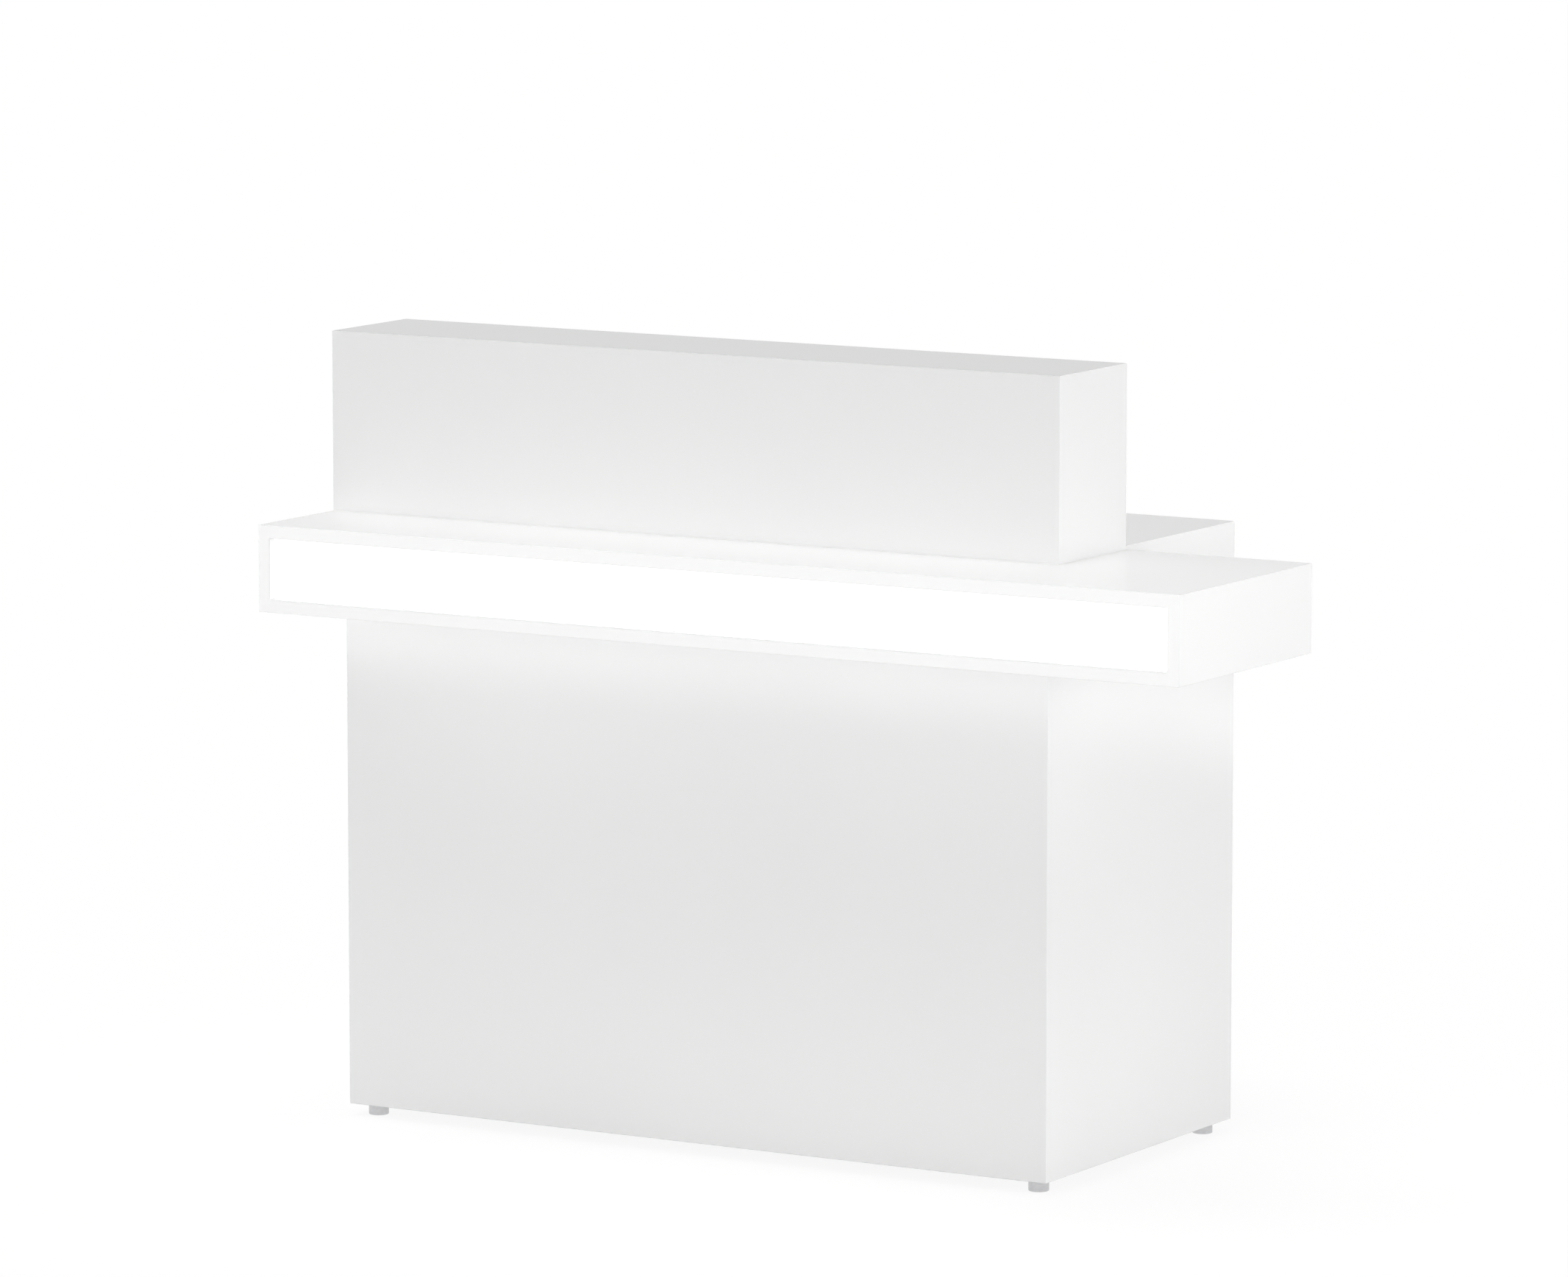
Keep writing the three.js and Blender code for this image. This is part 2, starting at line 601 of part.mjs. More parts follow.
// Cam lock about the Y axis: the plug turns in the body and its tongue rises into the worktop.
function addLock(group, front) {
  const tail = BOARD + LOCK_BARREL_TAIL;
  const bore = LOCK_PLUG_RADIUS + FIT;
  const body = ring(
    [
      [bore, -tail],
      [LOCK_BARREL_RADIUS, -tail],
      [LOCK_BARREL_RADIUS, SEAM],
      [LOCK_HEAD_RADIUS, SEAM],
      [LOCK_HEAD_RADIUS, LOCK_HEAD - ARRIS],
      [LOCK_HEAD_RADIUS - ARRIS, LOCK_HEAD],
      [bore, LOCK_HEAD],
    ],
    24,
  ).rotateX(-Math.PI / 2);
  const tongueAt = tail + SEAM + LOCK_TONGUE / 2;
  const core = turned(
    [
      [0, -tail - SEAM - LOCK_TONGUE - ARRIS],
      [LOCK_PLUG_RADIUS, -tail - SEAM - LOCK_TONGUE - ARRIS],
      [LOCK_PLUG_RADIUS, LOCK_HEAD],
      [0, LOCK_HEAD],
    ],
    20,
  ).rotateX(-Math.PI / 2);
  const reach = LOCK_TONGUE_REACH - LOCK_TONGUE_WIDTH / 2;
  const blade = block(LOCK_TONGUE_WIDTH, LOCK_TONGUE, reach).translate(0, -tongueAt, -reach / 2);
  const root = rod(LOCK_TONGUE_WIDTH / 2, LOCK_TONGUE, 20).rotateX(Math.PI / 2);
  root.translate(0, -tongueAt, 0);
  const tip = root.clone().translate(0, 0, -reach);
  const keyway = block(LOCK_KEYWAY, 3 * LOCK_HEAD, LOCK_KEYWAY_HEIGHT).translate(0, LOCK_HEAD, 0);
  const plug = cut(join([core, blade, root, tip]), [keyway]);
  const axis = [0, front, LOCK_HEIGHT - DRAWER_BOX_FLOOR];
  addMesh(group, "lock_body", NICKEL, body).position.set(...axis);
  addMesh(group, "lock_plug", NICKEL, plug).position.set(...axis);
}

function addDrawer(base) {
  const drawer = new THREE.Group();
  drawer.name = "drawer";
  drawer.position.set(LOCK_PLACE, DRAWER_BEHIND, DRAWER_BOX_FLOOR);
  base.add(drawer);
  addDrawerBox(drawer);
  addRunners(drawer);
  const front = DRAWER_FACE - DRAWER_BEHIND;
  const halfBay = (LEFT_BAY[1] - LEFT_BAY[0]) / 2 - DRAWER_GAP;
  const height = [-DRAWER_LIFT, DRAWER_FRONT_HEIGHT - DRAWER_LIFT];
  const ranges = [[-halfBay, halfBay], [front - BOARD, front], height];
  const edges = { left: "arris", right: "arris", top: "arris", bottom: "arris" };
  const lockHole = rod(LOCK_BARREL_RADIUS + SEAM, 3 * BOARD, 24).rotateX(Math.PI / 2);
  lockHole.translate(0, front, LOCK_HEIGHT - DRAWER_BOX_FLOOR);
  addBoard(drawer, "drawer_front", LACQUER, "back", ranges, edges, [lockHole]);
  addLock(drawer, front);
}

// Light box: x from its left end, y from its front, z from its underside
function addLightBoxBoards(group) {
  const width = [0, BOX_WIDTH];
  const depth = [0, BOX_DEPTH];
  const height = [0, BOX_HEIGHT];
  const lid = { left: "mitre", right: "mitre", top: "arris", bottom: "arris" };
  const lidHeight = [BOX_HEIGHT - BOARD, BOX_HEIGHT];
  addBoard(group, "light_box_top", LACQUER, "top", [width, depth, lidHeight], lid);
  addBoard(group, "light_box_bottom", LACQUER, "bottom", [width, depth, [0, BOARD]], lid);
  const end = { top: "mitre", bottom: "mitre", left: "arris", right: "arris" };
  addBoard(group, "light_box_left_end", LACQUER, "left", [[0, BOARD], depth, height], end);
  const rightEnd = [BOX_WIDTH - BOARD, BOX_WIDTH];
  addBoard(group, "light_box_right_end", LACQUER, "right", [rightEnd, depth, height], end);
  const inWidth = [BOX_INSIDE, BOX_WIDTH - BOX_INSIDE];
  const inHeight = [BOX_INSIDE, BOX_HEIGHT - BOX_INSIDE];
  const bushHole = rod(LEAD_RADIUS + SEAM + BUSH_WALL + SEAM, 3 * BOARD, 16).rotateX(Math.PI / 2);
  bushHole.translate(LEAD_PLACE, BOX_DEPTH, BOX_MIDDLE);
  const switchHole = block(SWITCH_WIDTH + 2 * SEAM, 3 * BOARD, SWITCH_HEIGHT + 2 * SEAM);
  switchHole.translate(SWITCH_PLACE, BOX_DEPTH, BOX_MIDDLE);
  const back = [inWidth, [BOX_DEPTH - BOARD, BOX_DEPTH], inHeight];
  addBoard(group, "light_box_back", LACQUER, "back", back, {}, [bushHole, switchHole]);
  const leadHole = rod(LEAD_RADIUS + FIT, 3 * BOARD, 16).rotateX(Math.PI / 2);
  leadHole.translate(LEAD_PLACE, BOX_OVERHANG, BOX_MIDDLE);
  const spar = [inWidth, [BOX_OVERHANG, BOX_OVERHANG + BOARD], inHeight];
  addBoard(group, "light_box_spar", MELAMINE, "front", spar, {}, [leadHole]);
}

function addDiffuser(group) {
  const edge = BOARD + DIFFUSER_GAP;
  const behind = DIFFUSER_SETBACK + DIFFUSER;
  const depth = [DIFFUSER_SETBACK, behind];
  const ranges = [[edge, BOX_WIDTH - edge], depth, [edge, BOX_HEIGHT - edge]];
  const edges = { left: "arris", right: "arris", top: "arris", bottom: "arris" };
  addBoard(group, "diffuser_panel", OPAL, "front", ranges, edges);
  const angle = [
    [0, 0],
    [RAIL_LEG, 0],
    [RAIL_LEG, RAIL_WALL],
    [RAIL_WALL, RAIL_WALL],
    [RAIL_WALL, RAIL_LEG],
    [0, RAIL_LEG],
  ];
  const length = BOX_WIDTH - 2 * BOX_INSIDE;
  const rail = drawnAcross(angle, length);
  const lower = addMesh(group, "diffuser_rail_bottom", ALUMINIUM, rail);
  lower.position.set(BOX_INSIDE, behind + SEAM, BOX_INSIDE);
  const upper = addMesh(group, "diffuser_rail_top", ALUMINIUM, rail.clone());
  upper.scale.z = -1;
  upper.position.set(BOX_INSIDE, behind + SEAM, BOX_HEIGHT - BOX_INSIDE);
}

// LED bars: a strip of board with a row of domed lenses, looking forward from the spar.
function addLedBars(group) {
  const length = BOX_WIDTH - 2 * (BOX_INSIDE + LED_BAR_END_GAP);
  const strip = block(length, LED_BAR_THICKNESS, LED_BAR_HEIGHT).translate(0, -LED_BAR_THICKNESS / 2, 0);
  const count = Math.floor(length / LED_PITCH);
  const start = (-(count - 1) / 2) * LED_PITCH;
  const arc = [0, 30, 60].map((angle) => [
    LED_LENS_RADIUS * Math.cos(angle * DEGREE),
    LED_LENS_RADIUS * Math.sin(angle * DEGREE),
  ]);
  const sunk = -LED_BAR_THICKNESS / 2;
  const dome = turned([[0, sunk], [LED_LENS_RADIUS, sunk], ...arc, [0, LED_LENS_RADIUS]], 8);
  dome.rotateX(Math.PI / 2).translate(0, -LED_BAR_THICKNESS, 0);
  const domes = Array.from({ length: count }, (_, i) => dome.clone().translate(start + i * LED_PITCH, 0, 0));
  const plug = block(PLUG_WIDTH, PLUG_DEPTH, LED_BAR_HEIGHT);
  plug.translate(LEAD_PLACE - BOX_WIDTH / 2, -PLUG_DEPTH / 2, 0);
  const bar = join([strip, ...domes, plug]);
  [["upper", 1], ["lower", -1]].forEach(([row, side]) => {
    const mesh = addMesh(group, `led_bar_${row}`, CIRCUIT_WHITE, bar.clone());
    mesh.position.set(BOX_WIDTH / 2, BOX_OVERHANG - SEAM, BOX_MIDDLE + (side * LED_ROW_PITCH) / 2);
  });
}

// LED driver on the back board: a ribbed case with a gland at each end.
function addDriver(group) {
  const ribs = Math.floor(DRIVER_HEIGHT / DRIVER_RIB_PITCH);
  const section = [[0, 0], [DRIVER_DEPTH - DRIVER_RIB, 0]];
  for (let i = 0; i < ribs; i += 1) {
    const low = ((i + 0.25) * DRIVER_HEIGHT) / ribs;
    const high = ((i + 0.75) * DRIVER_HEIGHT) / ribs;
    section.push([DRIVER_DEPTH - DRIVER_RIB, low], [DRIVER_DEPTH, low]);
    section.push([DRIVER_DEPTH, high], [DRIVER_DEPTH - DRIVER_RIB, high]);
  }
  section.push([DRIVER_DEPTH - DRIVER_RIB, DRIVER_HEIGHT], [0, DRIVER_HEIGHT]);
  const body = drawnAcross(section, DRIVER_LENGTH);
  body.translate(-DRIVER_LENGTH / 2, 0, -DRIVER_HEIGHT / 2);
  const length = DRIVER_LENGTH + 2 * DRIVER_GLAND_LENGTH;
  const gland = rod(DRIVER_GLAND_RADIUS, length, 12).rotateY(Math.PI / 2).translate(0, DRIVER_DEPTH / 2, 0);
  const driver = addMesh(group, "led_driver", WHITE_PLASTIC, join([body, gland]));
  driver.position.set(DRIVER_PLACE, BOX_DEPTH + SEAM, BOX_MIDDLE);
}

// Low-voltage lead: from the driver's left gland through the bush and the spar to both LED bars.
function addHarness(group) {
  const bore = LEAD_RADIUS + SEAM;
  const neck = bore + BUSH_WALL;
  const half = BOARD / 2;
  const bush = ring(
    [
      [bore, -half - SEAM - BUSH_FLANGE],
      [BUSH_FLANGE_RADIUS, -half - SEAM - BUSH_FLANGE],
      [BUSH_FLANGE_RADIUS, -half - SEAM],
      [neck, -half - SEAM],
      [neck, half + SEAM],
      [BUSH_FLANGE_RADIUS, half + SEAM],
      [BUSH_FLANGE_RADIUS, half + SEAM + BUSH_FLANGE],
      [bore, half + SEAM + BUSH_FLANGE],
    ],
    16,
  ).rotateX(Math.PI / 2);
  addMesh(group, "cable_bush", GREY_RUBBER, bush).position.set(LEAD_PLACE, BOX_DEPTH - half, BOX_MIDDLE);
  const plugY = BOX_OVERHANG - SEAM - PLUG_DEPTH / 2;
  const glandEnd = DRIVER_PLACE - DRIVER_LENGTH / 2 - DRIVER_GLAND_LENGTH - SEAM;
  const glandY = BOX_DEPTH + SEAM + DRIVER_DEPTH / 2;
  const halfway = LEAD_BEND * (1 - Math.SQRT1_2);
  const run = [
    [glandEnd, glandY, BOX_MIDDLE],
    [LEAD_PLACE + LEAD_BEND, glandY, BOX_MIDDLE],
    [LEAD_PLACE + halfway, glandY - halfway, BOX_MIDDLE],
    [LEAD_PLACE, glandY - LEAD_BEND, BOX_MIDDLE],
    [LEAD_PLACE, BOX_DEPTH + SEAM + BUSH_FLANGE, BOX_MIDDLE],
    [LEAD_PLACE, BOX_DEPTH - BOARD - SEAM - BUSH_FLANGE, BOX_MIDDLE],
    [LEAD_PLACE, BOX_OVERHANG + 3 * BOARD, BOX_MIDDLE],
    [LEAD_PLACE, BOX_OVERHANG + BOARD, BOX_MIDDLE],
    [LEAD_PLACE, plugY, BOX_MIDDLE],
  ];
  const branch = LED_ROW_PITCH / 2 - LED_BAR_HEIGHT / 2 - SEAM;
  const fork = rod(LEAD_RADIUS, 2 * branch, 10).translate(LEAD_PLACE, plugY, BOX_MIDDLE);
  addMesh(group, "led_harness", BLACK_PLASTIC, join([tube(run, LEAD_RADIUS, 48, 10), fork]));
}

// Rocker switch: a framed housing in the back board, with a rocker that tips about the X axis.
function addSwitch(group) {
  const plateWidth = SWITCH_WIDTH + 2 * SWITCH_FRAME;
  const plate = block(plateWidth, SWITCH_FRAME_DEPTH, SWITCH_HEIGHT + 2 * SWITCH_FRAME);
  plate.translate(0, SEAM + SWITCH_FRAME_DEPTH / 2, 0);
  const can = block(SWITCH_WIDTH, SWITCH_DEPTH + 2 * SEAM, SWITCH_HEIGHT);
  can.translate(0, SEAM - SWITCH_DEPTH / 2, 0);
  const wall = SWITCH_FRAME / 2;
  const window = block(SWITCH_WIDTH - 2 * wall, SWITCH_DEPTH, SWITCH_HEIGHT - 2 * wall);
  const housing = cut(join([plate, can]), [window]);
  const body = addMesh(group, "light_switch_body", BLACK_PLASTIC, housing);
  body.position.set(SWITCH_PLACE, BOX_DEPTH, BOX_MIDDLE);
  const half = SWITCH_HEIGHT / 2 - wall - 2 * FIT;
  const width = SWITCH_WIDTH - 2 * wall - 2 * FIT;
  const crown = half * Math.tan(ROCKER_TILT * DEGREE);
  const section = [
    [-ROCKER_DEPTH, -half / 3],
    [0, -half],
    [crown, 0],
    [0, half],
    [-ROCKER_DEPTH, half / 3],
  ];
  const rocker = drawnAcross(section, width).translate(-width / 2, 0, 0);
  rocker.rotateX(ROCKER_TILT * DEGREE);
  const mesh = addMesh(group, "light_switch_rocker", WHITE_PLASTIC, rocker);
  mesh.position.set(SWITCH_PLACE, BOX_DEPTH + SEAM + SWITCH_FRAME_DEPTH, BOX_MIDDLE);
}

function addLightBox() {
  const box = new THREE.Group();
  box.name = "light_box";
  addLightBoxBoards(box);
  addDiffuser(box);
  addLedBars(box);
  addDriver(box);
  addHarness(box);
  addSwitch(box);
  return box;
}

// Upper box: x from its left end, y from its front, z from the light box's top
function addUpperBox() {
  const upper = new THREE.Group();
  upper.name = "upper_box";
  const width = [0, UPPER_WIDTH];
  const depth = [0, UPPER_DEPTH];
  const height = [SEAM, UPPER_HEIGHT];
  const front = { left: "mitre", right: "mitre", top: "mitre" };
  addBoard(upper, "upper_front_panel", LACQUER, "front", [width, [0, BOARD], height], front);
  const top = { left: "mitre", right: "mitre", bottom: "mitre", top: "arris" };
  const lid = [UPPER_HEIGHT - BOARD, UPPER_HEIGHT];
  addBoard(upper, "upper_top_panel", LACQUER, "top", [width, depth, lid], top);
  const left = { top: "mitre", right: "mitre", left: "arris" };
  addBoard(upper, "upper_left_end", LACQUER, "left", [[0, BOARD], depth, height], left);
  const right = { top: "mitre", left: "mitre", right: "arris" };
  const rightEnd = [UPPER_WIDTH - BOARD, UPPER_WIDTH];
  addBoard(upper, "upper_right_end", LACQUER, "right", [rightEnd, depth, height], right);
  const middle = [(UPPER_WIDTH - BOARD) / 2, (UPPER_WIDTH + BOARD) / 2];
  const divider = [middle, [BEHIND_FRONT, UPPER_DEPTH], [SEAM, UPPER_HEIGHT - BOARD - SEAM]];
  addBoard(upper, "upper_divider", MELAMINE, "right", divider, { right: "arris" });
  return upper;
}

// The whole desk
const desk = new THREE.Group();
desk.name = "reception_desk";
const boxLeft = -BOX_WIDTH / 2;
const boxFront = -OVERALL_DEPTH / 2;

const base = addBase();
base.position.set(boxLeft + END_REVEAL, boxFront + BOX_OVERHANG, 0);
const lightBox = addLightBox();
lightBox.position.set(boxLeft, boxFront, BOX_BOTTOM);
const upperBox = addUpperBox();
upperBox.position.set(boxLeft, boxFront + BOX_DEPTH - UPPER_DEPTH, COUNTER_HEIGHT);
desk.add(base, lightBox, upperBox);

export default desk;
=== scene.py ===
"""Reception desk in white gloss lacquer: looks of the boards and the small fittings that finish them.

Lengths in the pieces are millimetres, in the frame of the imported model: +X is the visitor's right,
+Y the staff side and +Z up, with the origin on the floor under the middle of the desk.
"""

import json
from math import pi, radians

import bmesh
import bpy
import numpy as np
from mathutils import Matrix, Vector

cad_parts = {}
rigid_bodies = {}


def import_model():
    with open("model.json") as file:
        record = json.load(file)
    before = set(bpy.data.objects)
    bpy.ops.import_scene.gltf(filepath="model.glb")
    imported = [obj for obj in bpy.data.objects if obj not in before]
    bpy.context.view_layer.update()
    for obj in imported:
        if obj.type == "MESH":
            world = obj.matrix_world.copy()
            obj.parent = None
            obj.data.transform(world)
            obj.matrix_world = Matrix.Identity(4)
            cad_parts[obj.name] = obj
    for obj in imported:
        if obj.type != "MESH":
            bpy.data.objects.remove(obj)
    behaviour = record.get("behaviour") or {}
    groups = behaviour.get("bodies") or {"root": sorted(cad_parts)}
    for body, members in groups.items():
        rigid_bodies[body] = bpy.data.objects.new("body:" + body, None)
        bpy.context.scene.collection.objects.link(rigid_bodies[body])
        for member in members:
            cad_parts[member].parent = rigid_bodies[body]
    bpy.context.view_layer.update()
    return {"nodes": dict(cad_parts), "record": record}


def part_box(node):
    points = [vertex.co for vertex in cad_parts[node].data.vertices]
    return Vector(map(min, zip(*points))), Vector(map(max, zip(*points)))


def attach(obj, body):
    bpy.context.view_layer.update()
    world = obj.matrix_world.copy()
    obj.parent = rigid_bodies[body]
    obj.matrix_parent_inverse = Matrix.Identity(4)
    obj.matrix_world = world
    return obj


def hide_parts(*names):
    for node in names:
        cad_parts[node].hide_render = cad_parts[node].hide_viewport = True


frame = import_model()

SCENE = bpy.context.scene
MILLIMETRE = 0.001

# Where the fittings sit, as the boards are drilled for them
FOOT_AXES = {
    "front_left": (-666.5, -138.5),
    "front_right": (387.5, -138.5),
    "back_left": (-666.5, 327.5),
    "back_right": (387.5, 327.5),
}
FOOT_BODIES = {
    "front_left": "foot_fl",
    "front_right": "foot_fr",
    "back_left": "foot_bl",
    "back_right": "foot_br",
}
LOCK_AXIS = (-412.5, 355.5, 804.0)
OUTLET_AXIS = (133.5, 82.5, 850.0)
LEAD_HEIGHT = 790.0
LEAD_RADIUS = 2.5
BUSH_AXIS = (39.5, 3.5, LEAD_HEIGHT)
DRIVER_ENDS = (102.5, 282.5)
DRIVER_MIDDLE = 28.8
RUNNER_HEIGHT = 756.0
RUNNER_SCREWS = (62.0, 190.0, 306.0)
RUNNER_WEB, RUNNER_OUTER = 252.2, 262.5
CAP_SCREW_RISE = 17.0
BAY_MIDDLE = -412.5
COVER_COLUMNS = (-642.5, -182.5, -96.5, 363.5)
COVER_ROWS_BELOW, COVER_ROWS_ABOVE = (-95.0, 285.0), (60.0, 285.0)
BOTTOM_PANEL_TOP, WORKTOP_UNDERSIDE = 35.0, 832.0

# A box's faces: the axis that each looks along, and which way
FACES = {"left": (0, -1), "right": (0, 1), "front": (1, -1), "bottom": (2, -1), "top": (2, 1)}
AXES = np.eye(3)


# Camera: millimetres of lens, metres, and degrees below level and round to the right

FOCAL_LENGTH = 201.007
CAMERA_PLACE = (5.95452, -10.19823, 2.33768)
CAMERA_DIP = 7.8920
CAMERA_TURN = 30.6574


def add_camera():
    """Long lens from the visitor's right, a little above the desk's top."""
    lens = bpy.data.cameras.new("view_from_front_right")
    lens.lens = FOCAL_LENGTH
    lens.sensor_fit = "HORIZONTAL"
    lens.sensor_width = 36.0
    lens.clip_end = 200.0
    camera = bpy.data.objects.new("view_from_front_right", lens)
    camera.location = CAMERA_PLACE
    camera.rotation_euler = (radians(90 - CAMERA_DIP), 0.0, radians(CAMERA_TURN))
    SCENE.collection.objects.link(camera)
    SCENE.camera = camera


# Surfaces

def turned(profile, segments=48):
    """A profile turned about the z axis: x is r cos a, y is r sin a and z is h, with one row of the grid
    to each pair of radius r and height h, and one column to each step of the angle a."""
    radius, height = np.asarray(profile, float).T[:, :, None]
    angle = np.linspace(0, 2 * pi, segments, endpoint=False)
    return np.stack([radius * np.cos(angle), radius * np.sin(angle), height + 0 * angle], axis=-1)


def rounded(profile, reach, steps=4):
    """The profile with each inner corner P replaced by the curve (1-t)^2 S + 2t(1-t) P + t^2 E, where S and E
    lie on its two sides, reach away from P or a little less than half a short side."""
    points = np.asarray(profile, float)
    sides = np.diff(points, axis=0)
    lengths = np.linalg.norm(sides, axis=1, keepdims=True)
    unit = sides / lengths
    take = np.minimum(reach, 0.45 * np.minimum(lengths[:-1], lengths[1:]))
    corner = points[1:-1]
    start, end = corner - unit[:-1] * take, corner + unit[1:] * take
    t = np.linspace(0, 1, steps)[None, :, None]
    curve = (1 - t) ** 2 * start[:, None] + 2 * t * (1 - t) * corner[:, None] + t ** 2 * end[:, None]
    return np.vstack([points[:1], curve.reshape(-1, 2), points[-1:]])


def carried(outline, section):
    """A closed outline carried up a section: each row is the outline moved inwards along its own normals by
    the section's inset, at the section's height."""
    points = np.asarray(outline, float)
    tangent = np.roll(points, -1, axis=0) - np.roll(points, 1, axis=0)
    normal = np.stack([-tangent[:, 1], tangent[:, 0]], axis=-1)
    normal /= np.linalg.norm(normal, axis=1, keepdims=True)
    inset, height = np.asarray(section, float).T[:, :, None]
    flat = points[None] + inset[:, :, None] * normal[None]
    return np.concatenate([flat, np.broadcast_to(height[:, :, None], flat.shape[:2] + (1,))], axis=-1)


def tube(path, radius, segments=16):
    """A round section carried along a path: at each point p of the path, p + radius (cos a u + sin a v),
    where v is the direction that stays square to the whole path and u is square to v and to the path."""
    points = np.asarray(path, float)
    along = np.gradient(points, axis=0)
    along /= np.linalg.norm(along, axis=1, keepdims=True)
    flat = np.linalg.svd(along)[2][2]
    across = np.cross(along, flat)
    angle = np.linspace(0, 2 * pi, segments, endpoint=False)[None, :, None]
    return points[:, None] + radius * (np.cos(angle) * across[:, None] + np.sin(angle) * flat)


def placed(points, at, axis="z"):
    """The grid with its own z axis laid along the named axis, then moved to its place."""
    order = {"z": [0, 1, 2], "y": [0, 2, 1], "x": [2, 1, 0]}[axis]
    return points[..., order] + np.asarray(at, float)


def shell(points, ring=False, capped=False):
    """Faces for a grid whose columns go right round: a quad between each pair of rows and columns, also from
    the last row to the first in a ring, and a flat face on each end where it is capped. The third value is
    the distance run along the rows, which the marks of a lathe follow."""
    rows, columns = points.shape[:2]
    row = np.arange(rows if ring else rows - 1)[:, None]
    column = np.arange(columns)[None]
    beside, above = (column + 1) % columns, (row + 1) % rows
    here, there = row * columns, above * columns
    corners = [here + column, here + beside, there + beside, there + column]
    faces = np.stack(corners, axis=-1).reshape(-1, 4).tolist()
    if capped:
        faces += [list(range(columns))[::-1], list(range((rows - 1) * columns, rows * columns))]
    steps = np.linalg.norm(np.diff(points, axis=0), axis=-1)
    run = np.vstack([np.zeros((1, columns)), np.cumsum(steps, axis=0)])
    return points.reshape(-1, 3), faces, run.ravel()


def add_piece(name, shells, body, slot, replaces=(), crease=32):
    """One mesh from several shells: doubles merged, faces turned outwards, smooth but for its creases."""
    starts = np.cumsum([0] + [len(points) for points, _, _ in shells])
    points = np.vstack([points for points, _, _ in shells]) * MILLIMETRE
    faces = []
    for (_, shell_faces, _), start in zip(shells, starts.tolist()):
        faces += [[corner + start for corner in face] for face in shell_faces]
    mesh = bpy.data.meshes.new(name)
    mesh.from_pydata(points.tolist(), [], faces)
    run = mesh.attributes.new("turning", "FLOAT", "POINT")
    run.data.foreach_set("value", np.concatenate([run_length for _, _, run_length in shells]))
    work = bmesh.new()
    work.from_mesh(mesh)
    bmesh.ops.remove_doubles(work, verts=work.verts, dist=1e-7)
    bmesh.ops.recalc_face_normals(work, faces=work.faces)
    work.to_mesh(mesh)
    work.free()
    mesh.shade_smooth()
    mesh.set_sharp_from_angle(angle=radians(crease))
    mesh.materials.append(FINISHES[slot])
    piece = bpy.data.objects.new(name, mesh)
    SCENE.collection.objects.link(piece)
    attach(piece, body)
    if replaces:
        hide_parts(*replaces)
    return piece


# Finishes

def node(tree, kind, settings=None, **inputs):
    """A shader node: an input that is given an output socket is linked to it, and any other is set."""
    made = tree.nodes.new("ShaderNode" + kind)
    for key, value in (settings or {}).items():
        setattr(made, key, value)
    for key, value in inputs.items():
        socket = made.inputs[key.replace("_", " ")]
        if isinstance(value, bpy.types.NodeSocket):
            tree.links.new(value, socket)
        else:
            socket.default_value = value
    return made


def blended(tree, factor, first, second):
    """A colour between two greys or colours."""
    made = tree.nodes.new("ShaderNodeMix")
    made.data_type = "RGBA"
    tree.links.new(factor, made.inputs[0])
    made.inputs[6].default_value = (*first, 1.0)
    made.inputs[7].default_value = (*second, 1.0)
    return made.outputs[2]


def spread_over(tree, value, low, high):
    """A value of a pattern, mostly between 0.3 and 0.7, spread over low to high."""
    made = node(tree, "MapRange", None, Value=value, From_Min=0.3, From_Max=0.7, To_Min=low, To_Max=high)
    return made.outputs["Result"]


def grain(tree, place, scale, detail=2.0, stretch=None):
    """Noise of that many bumps to a metre, drawn out along an axis where stretch says so."""
    if stretch:
        place = node(tree, "Mapping", None, Vector=place, Scale=stretch).outputs["Vector"]
    return node(tree, "TexNoise", None, Vector=place, Scale=scale, Detail=detail).outputs["Fac"]


def relief(tree, height, distance, under=None):
    """Bump of that height in metres, on top of another one if it is given."""
    made = node(tree, "Bump", None, Height=height, Strength=1.0, Distance=distance)
    if under:
        tree.links.new(under, made.inputs["Normal"])
    return made.outputs["Normal"]


def new_finish(name, **constants):
    """A material, its node tree, its shader with the values that are the same all over, and its place."""
    material = bpy.data.materials.new(name)
    material.use_nodes = True
    tree = material.node_tree
    tree.nodes.clear()
    shader = node(tree, "BsdfPrincipled", None, **constants)
    node(tree, "OutputMaterial", None, Surface=shader.outputs["BSDF"])
    place = node(tree, "TexCoord").outputs["Object"]
    return material, tree, shader, place


def fit(tree, shader, **outputs):
    """Links the pattern's outputs to the shader's sockets."""
    for key, value in outputs.items():
        tree.links.new(value, shader.inputs[key.replace("_", " ")])


def gloss_lacquer():
    """Sprayed and polished white: a faint cloudiness, a little haze and the slow ripple of a sprayed film."""
    material, tree, shader, place = new_finish("gloss_lacquer", IOR=1.5)
    cloud = grain(tree, place, 2.3)
    colour = blended(tree, spread_over(tree, cloud, 0.0, 1.0), (0.853, 0.853, 0.853), (0.867, 0.867, 0.866))
    haze = spread_over(tree, grain(tree, place, 11.0, 3.0), 0.018, 0.035)
    ripple = relief(tree, grain(tree, place, 260.0, 1.0), 4e-6)
    fit(tree, shader, Base_Color=colour, Roughness=haze, Normal=ripple)
    return material


def satin_melamine():
    """Pressed white facing: a fine pebble with slightly shinier tops."""
    material, tree, shader, place = new_finish("satin_melamine", IOR=1.5)
    pebble = grain(tree, place, 1100.0, 2.0)
    cloud = grain(tree, place, 3.1)
    colour = blended(tree, spread_over(tree, cloud, 0.0, 1.0), (0.812, 0.812, 0.803), (0.828, 0.828, 0.818))
    fit(
        tree, shader, Base_Color=colour, Roughness=spread_over(tree, pebble, 0.48, 0.38),
        Normal=relief(tree, pebble, 6e-5),
    )
    return material


